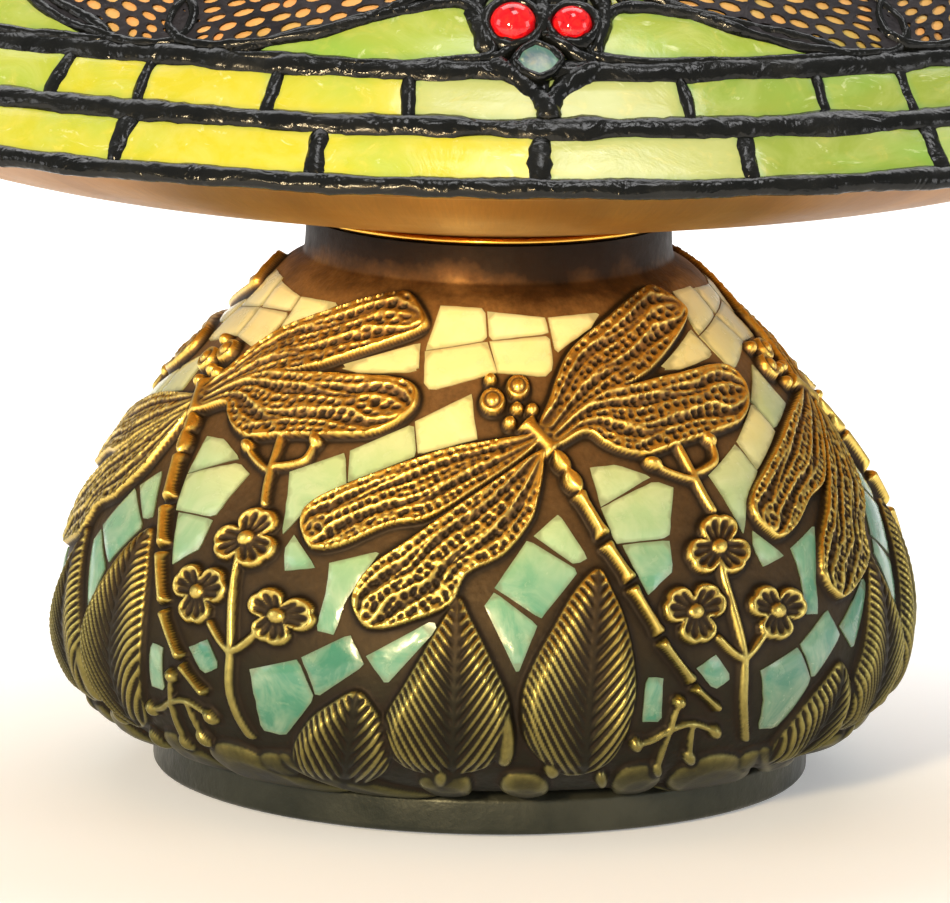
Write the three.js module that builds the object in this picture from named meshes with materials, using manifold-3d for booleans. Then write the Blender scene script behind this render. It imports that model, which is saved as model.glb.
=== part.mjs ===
// Stained glass table lamp: mosaic bronze base, bronze dish under the shade, leaded conical shade.
// Millimetres, +Z up, origin at the bottom centre of the felt pad, front of the lamp towards -Y.
import * as THREE from 'three';
import { mergeVertices } from 'three/examples/jsm/utils/BufferGeometryUtils.js';
import Module from 'manifold-3d';

// ---- driving dimensions (mm, degrees) ----
const GAP = 0.3;                 // clearance between pieces that touch
const N = 56;                    // facets round the large rings (8 for each dragonfly)
const DF = 7;                    // dragonflies round the shade
const FOOT_R = 74.8, FOOT_H = 10.5;
const FELT_R = 71, FELT_H = 1.5;
const WALL = 3.2;                // cast wall of the base
const NECK_R = 41.5, NECK_TOP = 127.2;
const RING_R = 42.4, RING_TOP = 129.2;
const DISH_R = 170, DISH_T = 2.0, DISH_RIM_Z = 159;
const ROD_R = 4.75, ROD_BORE = 3.0, ROD_TOP = 358, NUT_BORE = 5.9;   // the nuts are six-sided inside too
const CLUSTER_Z = 176, SOCKET_X = 40, SOCKET_Z = 168;
const RIM_R = 203, RIM_Z = 166.7, SLOPE = 42.5;   // outer edge of the shade and its slope
const GLASS_T = 3.0, CAME_T = 4.2;
const S_RIM = 4.7, S_LOW = 14.8, S_MID = 20.3, S_UP = 30.2, S_BAND = 35.8, S_FIELD = 195, S_CROWN = 199.5, S_TOPGLASS = 213.5, S_APERTURE = 228;
const DF_AZ = 3;                 // azimuth of the front dragonfly, towards +X
const EYE_S = 46, EYE_X = 6.1, EYE_R = 4.6;
const BUSH_Z = 20, BUSH_R = 4.2, BUSH_BORE = 2.7;

// outer surface of the cast base, r and z, from the foot up to the neck
const BODY = [[74.2, 10.8], [79, 11.6], [84, 14], [89, 18], [94.5, 28], [96, 36], [95.2, 44], [90.7, 60], [81.7, 76], [69, 92], [54.6, 107], [46, 114.5], [42, 119.5], [NECK_R, NECK_TOP]];
// underside of the dish
const DISH = [[7, 129.5], [42, 129.5], [60, 132.7], [80, 136.5], [105, 141.2], [130, 146.3], [150, 152.4], [166, 159.5]];

const wasm = await Module();
wasm.setup();

const rad = (d) => d * Math.PI / 180;
const ca = Math.cos(rad(SLOPE)), sa = Math.sin(rad(SLOPE));

function tidy(g) {
  g.deleteAttribute('normal');
  g.deleteAttribute('uv');
  g = mergeVertices(g, 1e-4);
  const ix = g.index.array, p = g.attributes.position.array;
  const keep = [];
  let vol = 0;
  for (let i = 0; i < ix.length; i += 3) {
    const [a, b, c] = [ix[i], ix[i + 1], ix[i + 2]];
    if (a === b || b === c || a === c) continue;
    keep.push(a, b, c);
    const A = [p[3 * a], p[3 * a + 1], p[3 * a + 2]], B = [p[3 * b], p[3 * b + 1], p[3 * b + 2]], C = [p[3 * c], p[3 * c + 1], p[3 * c + 2]];
    vol += A[0] * (B[1] * C[2] - B[2] * C[1]) - A[1] * (B[0] * C[2] - B[2] * C[0]) + A[2] * (B[0] * C[1] - B[1] * C[0]);
  }
  if (vol < 0) for (let i = 0; i < keep.length; i += 3) [keep[i + 1], keep[i + 2]] = [keep[i + 2], keep[i + 1]];
  g.setIndex(keep);
  return g;
}

// profile of [r, z] turned about Z; it closes on itself unless both ends are on the axis
function turned(pts, seg = N, phase = 0) {
  const v = pts.map(([r, z]) => new THREE.Vector2(r, z));
  if (!(pts[0][0] === 0 && pts[pts.length - 1][0] === 0)) v.push(v[0].clone());
  const g = new THREE.LatheGeometry(v, seg);
  g.rotateX(Math.PI / 2);
  if (phase) g.rotateZ(rad(phase));
  return tidy(g);
}

const solid = (g) => new wasm.Manifold(new wasm.Mesh({ numProp: 3, vertProperties: new Float32Array(g.attributes.position.array), triVerts: new Uint32Array(g.index.array) }));
function back(m) {
  const k = m.getMesh();
  const g = new THREE.BufferGeometry();
  g.setAttribute('position', new THREE.BufferAttribute(new Float32Array(k.vertProperties), 3));
  g.setIndex(Array.from(k.triVerts));
  return tidy(g);
}
const join = (...gs) => back(gs.map(solid).reduce((a, b) => a.add(b)));
const cut = (g, ...gs) => back(gs.map(solid).reduce((a, b) => a.subtract(b), solid(g)));
function rodAlong(r, len, seg, axis, x, y, z) {
  const g = new THREE.CylinderGeometry(r, r, len, seg);
  if (axis === 'x') g.rotateZ(Math.PI / 2);
  if (axis === 'z') g.rotateX(Math.PI / 2);
  g.translate(x, y, z);
  return tidy(g);
}

// point on the cone of the shade: s up the slope from the rim, off outward from the outer surface, az from the front
function cone(s, off, az) {
  const r = RIM_R - s * ca + off * sa, z = RIM_Z + s * sa + off * ca;
  return [r * Math.sin(rad(az)), -r * Math.cos(rad(az)), z];
}
// closed band of the cone with a slanted rectangular section
function coneRing(s0, s1, t, proud = 0) {
  const at = (s, off) => [RIM_R - s * ca + off * sa, RIM_Z + s * sa + off * ca];
  return turned([at(s0, proud - t), at(s0, proud), at(s1, proud), at(s1, proud - t)], N, DF_AZ - 90);
}
// curved plate on the cone: list of stations [az, sLo, sHi]
function conePlate(st, offIn, offOut) {
  const pos = [], ix = [];
  for (const [az, lo, hi] of st) for (const [s, o] of [[lo, offIn], [hi, offIn], [hi, offOut], [lo, offOut]]) pos.push(...cone(s, o, az));
  const n = st.length;
  for (let i = 0; i < n - 1; i++) for (let k = 0; k < 4; k++) {
    const a = 4 * i + k, b = 4 * i + (k + 1) % 4, c = a + 4, d = b + 4;
    ix.push(a, c, b, b, c, d);
  }
  ix.push(0, 1, 2, 0, 2, 3);
  const e = 4 * (n - 1);
  ix.push(e, e + 2, e + 1, e, e + 3, e + 2);
  const g = new THREE.BufferGeometry();
  g.setAttribute('position', new THREE.BufferAttribute(new Float32Array(pos), 3));
  g.setIndex(ix);
  return tidy(g);
}

const group = new THREE.Group();
group.name = 'stained_glass_table_lamp';
function put(name, g, color, roughness, metalness) {
  const m = new THREE.Mesh(g, new THREE.MeshStandardMaterial({ color, roughness, metalness }));
  m.name = name;
  group.add(m);
}
const BRONZE = 0x8a5a30, DARK = 0x38332b, LEAD = 0x2b2a2b, BRASS = 0xb08a45;

// ---- foot ----
put('felt_pad', turned([[0, 0], [FELT_R, 0], [FELT_R, FELT_H], [0, FELT_H]], 32), 0x2f4a35, 0.95, 0);
put('rod_nut', turned([[NUT_BORE, 2.1], [10, 2.1], [10, 6.7], [NUT_BORE, 6.7]], 6), BRASS, 0.4, 1);
put('rod_washer', turned([[ROD_R + GAP, 7.0], [17, 7.0], [17, 8.7], [ROD_R + GAP, 8.7]], 18), 0x9a9a96, 0.4, 1);
put('base_weight', turned([[ROD_R + GAP, 9], [22, 9], [22, 1.9], [71, 1.9], [71, 7.2], [30, 7.2], [30, 16], [ROD_R + GAP, 16]], 30), 0x3a3a3a, 0.8, 0.8);
put('foot_ring', turned([[71.4, 0.4], [74, 0.4], [FOOT_R, 1.3], [FOOT_R, 8], [72.5, FOOT_H], [60, FOOT_H], [60, 7.5], [71.4, 7.5]], 40), DARK, 0.5, 0.9);

// ---- cast base, with the bore for the cord bushing at the rear ----
const inner = BODY.slice(3, -3).filter(([, z]) => z !== 36 && z !== 44).map(([r, z]) => [r - WALL, z - 1.2]).reverse();
let body = turned([[66, 10.8], ...BODY, [NECK_R - WALL, NECK_TOP], [NECK_R - WALL, 118], ...inner, [66, 14]], 40);
body = cut(body, rodAlong(BUSH_R + GAP, 40, 16, 'y', 0, 90, BUSH_Z));
put('base_body', body, BRONZE, 0.45, 1);
const skinO = BODY.filter(([, z]) => z >= 28 && z <= 107).map(([r, z]) => [r + 1.5, z]);
const skinI = BODY.filter(([, z]) => z >= 28 && z <= 107).map(([r, z]) => [r + 0.35, z]).reverse();
put('mosaic_inlay', turned([...skinO, ...skinI], 40), 0xb9cfa0, 0.3, 0);
const bush = turned([[BUSH_BORE, -5], [BUSH_R, -5], [BUSH_R, 4.0], [6, 4.0], [6, 6.2], [BUSH_BORE, 6.2]], 16);
bush.rotateX(-Math.PI / 2);
bush.translate(0, 90.3, BUSH_Z);
put('cord_bushing', tidy(bush), 0x1c1a18, 0.6, 0);

// ---- neck, dish, rod and column ----
put('neck_trim_ring', turned([[34, NECK_TOP + GAP], [41.6, NECK_TOP + GAP], [RING_R, 127.9], [RING_R, 128.8], [41.6, RING_TOP], [34, RING_TOP]], 32), 0xc9973f, 0.25, 1);
const up = DISH.map(([r, z]) => [r, z + DISH_T]).reverse();
put('saucer_dish', turned([...DISH, [169.6, 160], [170.8, 162.6], [169.4, 164.8], [166.6, 164.4], [165.4, 162.6], ...up.slice(1)], N), 0xa9693a, 0.35, 1);
put('lamp_rod', turned([[ROD_BORE, 2.1], [ROD_R, 2.1], [ROD_R, ROD_TOP], [ROD_BORE, ROD_TOP]], 16), 0xa08a55, 0.4, 1);
put('saucer_nut', turned([[NUT_BORE, 131.8], [11.5, 131.8], [11.5, 136.7], [NUT_BORE, 136.7]], 6), BRASS, 0.4, 1);
put('column_tube', turned([[6, 137], [11, 137], [11, 139], [8.5, 141], [8.5, 160], [11, 162], [11, 164.7], [6, 164.7]], 18), BRONZE, 0.4, 1);
const hub = turned([[ROD_R + GAP, 165], [11, 165], [15, 170], [16, 176], [15, 182], [11, 187], [ROD_R + GAP, 187]], 18);
const armL = rodAlong(4.5, 13.2, 12, 'x', -19.0, 0, CLUSTER_Z), armR = rodAlong(4.5, 13.2, 12, 'x', 19.0, 0, CLUSTER_Z);
put('cluster_body', join(hub, armL, armR), BRONZE, 0.4, 1);

// ---- sockets, bulbs and pull chains, one set each side ----
for (const [tag, k] of [['left', -1], ['right', 1]]) {
  const x = k * SOCKET_X, z = SOCKET_Z;
  const at = (g, dx = 0, dy = 0, dz = 0) => { g.translate(x + dx, dy, dz); return tidy(g); };
  const shell = at(turned([[3, z], [11, z], [14, z + 4], [14, z + 40], [12.9, z + 40], [12.9, z + 5], [10.3, z + 1.4], [3, z + 1.4]], 18));
  const spout = rodAlong(2.4, 5, 10, 'x', x + k * 16, 0, z + 14);
  put(`socket_shell_${tag}`, join(shell, spout), BRASS, 0.35, 1);
  put(`socket_insulator_${tag}`, at(turned([[4, z + 6], [12.4, z + 6], [12.4, z + 39], [11.7, z + 39], [11.7, z + 12], [4, z + 12]], 18)), 0xe8e0d0, 0.6, 0);
  put(`bulb_base_${tag}`, at(turned([[0, z + 13], [4, z + 13], [11, z + 18], [11, z + 44], [0, z + 44]], 18)), 0xb5b2a8, 0.35, 1);
  put(`bulb_glass_${tag}`, at(turned([[0, z + 44.3], [11, z + 44.3], [13, z + 52], [20, z + 62], [23.5, z + 74], [20, z + 87], [11, z + 95], [0, z + 97]], 18)), 0xfff3d8, 0.2, 0);
  const cx = x + k * 20.6;
  put(`pull_chain_${tag}`, rodAlong(0.9, 20, 8, 'z', cx, 0, z + 4), BRASS, 0.35, 1);
  const pull = turned([[0, z - 20.5], [1.8, z - 20], [3.2, z - 16], [1.4, z - 8], [1.4, z - 6.3], [0, z - 6.3]], 10);
  pull.translate(cx, 0, 0);
  put(`chain_pull_${tag}`, tidy(pull), BRASS, 0.3, 1);
}

// ---- shade support ----
const wheelHub = turned([[ROD_R + GAP, 309], [9, 309], [9, 316], [ROD_R + GAP, 316]], 16);
const wheelRim = turned([[29.6, 310.5], [33.2, 310.5], [33.2, 314.5], [29.6, 314.5]], 24);
const spokes = [0, 120, 240].map((a) => { const g = new THREE.BoxGeometry(23.4, 4, 3); g.translate(19.4, 0, 312.5); g.rotateZ(rad(a)); return tidy(g); });
put('shade_wheel', join(wheelHub, wheelRim, ...spokes), BRASS, 0.4, 1);

// ---- leaded shade: courses from the rim up ----
const h = GAP / 2;
put('rim_came', coneRing(0, S_RIM - h, CAME_T, 0.6), LEAD, 0.45, 0.9);
put('lower_border_glass', coneRing(S_RIM + h, S_LOW - h, GLASS_T), 0xcfd45a, 0.2, 0);
put('border_came', coneRing(S_LOW + h, S_MID - h, CAME_T, 0.6), LEAD, 0.45, 0.9);
put('upper_border_glass', coneRing(S_MID + h, S_UP - h, GLASS_T), 0xb9cf6a, 0.2, 0);
put('band_came', coneRing(S_UP + h, S_BAND - h, CAME_T, 0.6), LEAD, 0.45, 0.9);
const seg = 360 / N;
for (let i = 0; i < DF; i++) {
  const c = DF_AZ + i * 360 / DF;
  const st = [];
  for (let k = -4; k <= 4; k++) st.push([c + k * seg * (k === -4 || k === 4 ? 0.99 : 1), S_BAND + h, S_FIELD - h]);
  put(`dragonfly_panel_${i + 1}`, conePlate(st, -GLASS_T, 0), i % 2 ? 0x8fbf62 : 0xa8c95e, 0.2, 0);

  // wings of metal filigree laid on the glass: lower pair, upper pair and the body strip that joins them
  const w = 3.2;
  const low = [[-7, 47, 56], [-4.4, 42, 65], [-1.6, 53, 71], [1.6, 53, 71], [4.4, 42, 65], [7, 47, 56]];
  const top = [[-7, 74, 84], [-4.4, 70, 92], [-1.6, 75, 89], [1.6, 75, 89], [4.4, 70, 92], [7, 74, 84]];
  const mid = [[-0.4, 58, 150], [0.4, 58, 150]];
  const plate = (a) => conePlate(a.map(([k, lo, hi]) => [c + k * w, lo, hi]), 0.95, 1.85);   // clears the flat facets of the glass
  put(`wing_filigree_${i + 1}`, join(plate(low), plate(top), plate(mid)), 0x4a3524, 0.5, 0.9);

  // head: two domed jewels joined by the mask between them
  const dome = (dx) => {
    const d = turned([[0, 0], [EYE_R, 0], [EYE_R * 0.92, 1.6], [EYE_R * 0.6, 3.0], [0, 3.7]], 8);
    d.rotateX(rad(90 - SLOPE));
    const r = RIM_R - EYE_S * ca + 0.35 * sa;
    const a = c + dx / r * 180 / Math.PI;
    d.translate(0, -r, RIM_Z + EYE_S * sa + 0.35 * ca);
    d.rotateZ(rad(a));
    return tidy(d);
  };
  const bridge = conePlate([[c - 1.1, 43, 50], [c, 40, 52], [c + 1.1, 43, 50]], 0.4, 2.2);
  put(`dragonfly_eyes_${i + 1}`, join(dome(-EYE_X), dome(EYE_X), bridge), 0xa02015, 0.15, 0);
}
put('crown_came', coneRing(S_FIELD + h, S_CROWN - h, CAME_T, 0.6), LEAD, 0.45, 0.9);
put('crown_glass', coneRing(S_CROWN + h, S_TOPGLASS - h, GLASS_T), 0xd8c860, 0.2, 0);
put('aperture_ring', coneRing(S_TOPGLASS + h, S_APERTURE, CAME_T, 0.6), BRONZE, 0.4, 1);

// ---- cap and finial ----
put('vase_cap', turned([[ROD_R + GAP, 343], [8, 336], [16, 332], [28, 327], [36.5, 321.6], [40, 321.6], [40, 324], [28, 331], [18, 335.5], [11, 341], [10, 346], [ROD_R + GAP, 346]], 28), BRONZE, 0.4, 1);
put('finial', turned([[0, ROD_TOP + 1], [ROD_R + GAP, ROD_TOP + 1], [ROD_R + GAP, 346.3], [9, 346.3], [9.5, 349], [7.2, 351.5], [7.6, 354], [10.5, 358], [11.2, 362], [9.6, 366.5], [5, 371], [3, 375], [0, 378]].map(([r, z]) => [r, z]), 20), BRONZE, 0.35, 1);

export default group;
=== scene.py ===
import bpy, math
import numpy as np
from mathutils import Vector, Matrix
from mathutils.geometry import delaunay_2d_cdt


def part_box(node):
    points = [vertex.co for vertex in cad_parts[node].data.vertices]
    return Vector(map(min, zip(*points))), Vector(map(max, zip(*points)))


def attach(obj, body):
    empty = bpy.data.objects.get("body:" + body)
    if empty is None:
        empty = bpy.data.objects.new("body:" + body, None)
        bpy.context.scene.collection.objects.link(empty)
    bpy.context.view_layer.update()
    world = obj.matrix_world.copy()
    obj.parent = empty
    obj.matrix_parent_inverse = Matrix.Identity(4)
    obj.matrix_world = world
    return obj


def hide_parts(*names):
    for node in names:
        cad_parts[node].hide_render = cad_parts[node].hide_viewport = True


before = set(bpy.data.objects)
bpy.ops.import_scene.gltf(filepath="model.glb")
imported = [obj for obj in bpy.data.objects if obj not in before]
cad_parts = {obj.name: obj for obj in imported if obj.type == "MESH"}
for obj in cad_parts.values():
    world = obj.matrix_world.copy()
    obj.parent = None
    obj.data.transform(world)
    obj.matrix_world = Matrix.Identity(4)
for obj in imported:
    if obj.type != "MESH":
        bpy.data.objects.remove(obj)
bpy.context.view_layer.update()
MM = 0.001
rng = np.random.default_rng(7)


def lohi(node):
    a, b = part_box(node)
    return np.array(a) / MM, np.array(b) / MM


# ------------------------------------------------------------------ sizes read from the frame (mm)
body_lo, body_hi = lohi("base_body")
foot_lo, foot_hi = lohi("foot_ring")
trim_lo, trim_hi = lohi("neck_trim_ring")
dish_lo, dish_hi = lohi("saucer_dish")
rim_lo, rim_hi = lohi("rim_came")
ap_lo, ap_hi = lohi("aperture_ring")
cap_lo, cap_hi = lohi("vase_cap")
fin_lo, fin_hi = lohi("finial")
bush_lo, bush_hi = lohi("cord_bushing")

SLOPE = math.radians(42.5)
CA, SA = math.cos(SLOPE), math.sin(SLOPE)
RIM_R = rim_hi[0] - 0.6 * SA * 0.0 - 0.405            # outer glass edge, the came stands 0.6 proud of it
RIM_R = 203.0 if abs(RIM_R - 203.0) < 1.0 else RIM_R
RIM_Z = 166.7 if abs(rim_lo[2] + 2.65 - 166.7) < 1.5 else rim_lo[2] + 2.65
L0 = RIM_R / CA
DF, DF_AZ = 7, 3.0
GLASS_T = 3.0


# ------------------------------------------------------------------ materials
def nodes_of(name):
    m = bpy.data.materials.new(name)
    m.use_nodes = True
    nt = m.node_tree
    return m, nt, nt.nodes["Principled BSDF"]


def N(nt, kind, **kw):
    n = nt.nodes.new(kind)
    for k, v in kw.items():
        if k in n.inputs:
            n.inputs[k].default_value = v
        else:
            setattr(n, k, v)
    return n


def noise(nt, scale, detail=4, rough=0.55, coord=None, dist=0.0):
    n = N(nt, "ShaderNodeTexNoise")
    n.inputs["Scale"].default_value = scale
    n.inputs["Detail"].default_value = detail
    n.inputs["Roughness"].default_value = rough
    n.inputs["Distortion"].default_value = dist
    if coord is not None:
        nt.links.new(coord, n.inputs["Vector"])
    return n


def coords(nt, scale=(1, 1, 1)):
    tc = N(nt, "ShaderNodeTexCoord")
    mp = N(nt, "ShaderNodeMapping")
    mp.inputs["Scale"].default_value = scale
    nt.links.new(tc.outputs["Object"], mp.inputs["Vector"])
    return mp.outputs["Vector"]


def ramp(nt, fac, stops):
    r = N(nt, "ShaderNodeValToRGB")
    e = r.color_ramp.elements
    while len(e) > 1:
        e.remove(e[-1])
    e[0].position, e[0].color = stops[0][0], (*stops[0][1], 1)
    for p, c in stops[1:]:
        x = e.new(p)
        x.color = (*c, 1)
    nt.links.new(fac, r.inputs["Fac"])
    return r


def mix(nt, fac, a, b, blend="MIX"):
    m = N(nt, "ShaderNodeMix", data_type="RGBA", blend_type=blend)
    for sock, v in ((m.inputs[0], fac), (m.inputs[6], a), (m.inputs[7], b)):
        if isinstance(v, bpy.types.NodeSocket):
            nt.links.new(v, sock)
        else:
            sock.default_value = v if isinstance(v, float) else (*v, 1)
    return m.outputs[2]


def rng_map(nt, v, a, b, c, d):
    m = N(nt, "ShaderNodeMapRange")
    m.inputs["From Min"].default_value, m.inputs["From Max"].default_value = a, b
    m.inputs["To Min"].default_value, m.inputs["To Max"].default_value = c, d
    nt.links.new(v, m.inputs["Value"])
    return m.outputs["Result"]


def math_n(nt, op, a, b=None):
    m = N(nt, "ShaderNodeMath", operation=op)
    for i, v in enumerate((a, b)):
        if v is None:
            continue
        if isinstance(v, bpy.types.NodeSocket):
            nt.links.new(v, m.inputs[i])
        else:
            m.inputs[i].default_value = v
    return m.outputs[0]


def attr(nt, name):
    return N(nt, "ShaderNodeAttribute", attribute_name=name)


def bump(nt, bs, height, strength=0.3, dist=0.001):
    b = N(nt, "ShaderNodeBump")
    b.inputs["Strength"].default_value = strength
    b.inputs["Distance"].default_value = dist
    nt.links.new(height, b.inputs["Height"])
    nt.links.new(b.outputs["Normal"], bs.inputs["Normal"])
    return b


def simple(name, c1, c2, metal, r1, r2, scale=60.0, bstr=0.2, bdist=0.0004, bscale=900.0, stretch=(1, 1, 1), **socks):
    m, nt, bs = nodes_of(name)
    co = coords(nt, stretch)
    n1 = noise(nt, scale, 5, 0.6, co)
    n2 = noise(nt, scale * 2.7, 4, 0.6, co)
    n3 = noise(nt, bscale, 3, 0.6, co)
    nt.links.new(ramp(nt, n1.outputs[0], [(0.32, c1), (0.68, c2)]).outputs[0], bs.inputs["Base Color"])
    nt.links.new(rng_map(nt, n2.outputs[0], 0.3, 0.7, r1, r2), bs.inputs["Roughness"])
    bs.inputs["Metallic"].default_value = metal
    bump(nt, bs, n3.outputs[0], bstr, bdist)
    for k, v in socks.items():
        bs.inputs[k.replace("_", " ")].default_value = v
    return m


def m_bronze_relief():
    m, nt, bs = nodes_of("relief_bronze")
    co = coords(nt)
    z = N(nt, "ShaderNodeSeparateXYZ")
    tc = N(nt, "ShaderNodeTexCoord")
    nt.links.new(tc.outputs["Object"], z.inputs[0])
    n1 = noise(nt, 55, 5, 0.6, co)
    n2 = noise(nt, 700, 4, 0.65, co)
    n3 = noise(nt, 190, 4, 0.6, co)
    hz = math_n(nt, "ADD", z.outputs[2], math_n(nt, "MULTIPLY", math_n(nt, "SUBTRACT", n1.outputs[0], 0.5), 0.02))
    # base and gold colours follow height: near black at the bottom, brightest warm brown and gold on the upper
    # shoulder, dark again on the neck; this is painted shade towards the bottom and under the saucer dish, and painted
    # warm light on the shoulder
    base = ramp(nt, rng_map(nt, hz, 0.012, 0.128, 0, 1),
                [(0.0, (0.012, 0.013, 0.009)), (0.22, (0.022, 0.019, 0.011)), (0.48, (0.078, 0.048, 0.022)), (0.75, (0.22, 0.125, 0.052)), (0.875, (0.30, 0.155, 0.050)), (0.915, (0.10, 0.045, 0.014)), (0.95, (0.018, 0.008, 0.003)), (1.0, (0.009, 0.005, 0.003))])
    gold = ramp(nt, rng_map(nt, hz, 0.012, 0.128, 0, 1),
                [(0.0, (0.15, 0.14, 0.055)), (0.25, (0.42, 0.35, 0.10)), (0.5, (0.90, 0.64, 0.15)), (0.86, (1.0, 0.66, 0.14)), (0.915, (0.16, 0.08, 0.025)), (0.95, (0.02, 0.010, 0.004)), (1.0, (0.010, 0.006, 0.004))])
    dark = mix(nt, n1.outputs[0], (0.010, 0.008, 0.006), (0.030, 0.020, 0.012))
    bs.inputs["Specular IOR Level"].default_value = 0.22
    e = attr(nt, "edge").outputs["Fac"]
    c = attr(nt, "cav").outputs["Fac"]
    ee = rng_map(nt, math_n(nt, "ADD", e, math_n(nt, "MULTIPLY", math_n(nt, "SUBTRACT", n3.outputs[0], 0.5), 0.5)), 0.18, 0.85, 0, 1)
    col = mix(nt, ee, base.outputs[0], gold.outputs[0])
    col = mix(nt, c, col, dark)
    col = mix(nt, rng_map(nt, n2.outputs[0], 0.35, 0.75, 0.0, 0.35), col, (0.02, 0.015, 0.01))
    nt.links.new(col, bs.inputs["Base Color"])
    ro = math_n(nt, "SUBTRACT", rng_map(nt, n3.outputs[0], 0.3, 0.7, 0.50, 0.64), math_n(nt, "MULTIPLY", ee, 0.26))
    nt.links.new(ro, bs.inputs["Roughness"])
    nt.links.new(rng_map(nt, ee, 0.0, 0.6, 0.62, 0.94), bs.inputs["Metallic"])
    bump(nt, bs, n2.outputs[0], 0.35, 0.00025)
    return m


def m_tile():
    m, nt, bs = nodes_of("mosaic_glass")
    co = coords(nt)
    z = N(nt, "ShaderNodeSeparateXYZ")
    tc = N(nt, "ShaderNodeTexCoord")
    nt.links.new(tc.outputs["Object"], z.inputs[0])
    n1 = noise(nt, 75, 4, 0.6, co, 1.2)
    n2 = noise(nt, 260, 4, 0.6, co, 0.5)
    t = attr(nt, "tint").outputs["Fac"]
    hz = math_n(nt, "ADD", rng_map(nt, z.outputs[2], 0.020, 0.118, 0, 1), math_n(nt, "MULTIPLY", math_n(nt, "SUBTRACT", t, 0.5), 0.16))
    # tile colour follows height: darker teal low down, warm cream at the top; this height ramp is painted shade below
    # and painted warm light from above, while the per-tile tint gives the tiles' own spread of colour
    base = ramp(nt, hz, [(0.0, (0.022, 0.125, 0.078)), (0.20, (0.042, 0.19, 0.125)), (0.40, (0.115, 0.31, 0.205)), (0.58, (0.32, 0.48, 0.27)), (0.78, (0.68, 0.66, 0.32)), (1.0, (0.82, 0.70, 0.34))])
    pale = mix(nt, rng_map(nt, n1.outputs[0], 0.40, 0.75, 0.0, 0.32), base.outputs[0], (0.70, 0.74, 0.55))
    deep = mix(nt, rng_map(nt, n2.outputs[0], 0.55, 0.8, 0.0, 0.35), pale, (0.22, 0.30, 0.18))
    ed = attr(nt, "rimd").outputs["Fac"]
    deep = mix(nt, rng_map(nt, ed, 0.0, 0.5, 0.55, 0.0), deep, (0.12, 0.13, 0.07))
    nt.links.new(deep, bs.inputs["Base Color"])
    nt.links.new(rng_map(nt, n2.outputs[0], 0.3, 0.7, 0.16, 0.30), bs.inputs["Roughness"])
    bs.inputs["Coat Weight"].default_value = 0.25
    bs.inputs["Coat Roughness"].default_value = 0.06
    bump(nt, bs, n1.outputs[0], 0.25, 0.0006)
    return m


def m_glass(name, painted_glow=0.25):
    """streaky opalescent glass, tinted by each piece's colour"""
    m, nt, bs = nodes_of(name)
    co = coords(nt, (1, 1, 1.6))
    n1 = noise(nt, 42, 4, 0.62, co, 2.2)
    n2 = noise(nt, 150, 5, 0.6, co, 1.0)
    n3 = noise(nt, 26, 3, 0.5, co, 0.4)
    tint = attr(nt, "tintc").outputs["Color"]
    ed = attr(nt, "rimd").outputs["Fac"]
    n4 = noise(nt, 70, 5, 0.66, co, 3.4)
    light = mix(nt, rng_map(nt, n1.outputs[0], 0.42, 0.72, 0.0, 0.60), tint, mix(nt, 0.40, tint, (0.55, 0.58, 0.26)))
    green = mix(nt, rng_map(nt, n3.outputs[0], 0.46, 0.72, 0.0, 0.7), light, mix(nt, 0.75, tint, (0.12, 0.34, 0.05)))
    warm = mix(nt, rng_map(nt, n2.outputs[0], 0.55, 0.8, 0.0, 0.4), green, mix(nt, 0.6, tint, (0.72, 0.52, 0.10)))
    warm = mix(nt, rng_map(nt, n4.outputs[0], 0.61, 0.70, 0.0, 0.42), warm, (0.66, 0.72, 0.46))
    col = mix(nt, rng_map(nt, ed, 0.0, 0.75, 0.65, 0.0), warm, mix(nt, 0.7, tint, (0.06, 0.24, 0.10)))
    nt.links.new(col, bs.inputs["Base Color"])
    # the glass colour also drives emission: a painted glow standing in for lamp light passing through the shade
    nt.links.new(col, bs.inputs["Emission Color"])
    bs.inputs["Emission Strength"].default_value = painted_glow
    nt.links.new(rng_map(nt, n2.outputs[0], 0.3, 0.7, 0.16, 0.28), bs.inputs["Roughness"])
    bs.inputs["Specular IOR Level"].default_value = 0.30
    bs.inputs["Coat Weight"].default_value = 0.10
    bs.inputs["Coat Roughness"].default_value = 0.05
    bump(nt, bs, n1.outputs[0], 0.22, 0.0010)
    return m


def m_lead():
    m, nt, bs = nodes_of("lead_came")
    co = coords(nt)
    n1 = noise(nt, 150, 2, 0.5, co, 1.2)
    n2 = noise(nt, 90, 4, 0.6, co)
    n3 = noise(nt, 900, 3, 0.6, co)
    nt.links.new(ramp(nt, n2.outputs[0], [(0.3, (0.0025, 0.003, 0.003)), (0.6, (0.006, 0.0065, 0.006)), (0.8, (0.015, 0.015, 0.013))]).outputs[0], bs.inputs["Base Color"])
    nt.links.new(rng_map(nt, n2.outputs[0], 0.3, 0.7, 0.11, 0.26), bs.inputs["Roughness"])
    bs.inputs["Metallic"].default_value = 0.0
    bs.inputs["Specular IOR Level"].default_value = 0.26
    h = math_n(nt, "ADD", n1.outputs[0], math_n(nt, "MULTIPLY", n3.outputs[0], 0.12))
    bump(nt, bs, h, 0.55, 0.0015)
    return m


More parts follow.
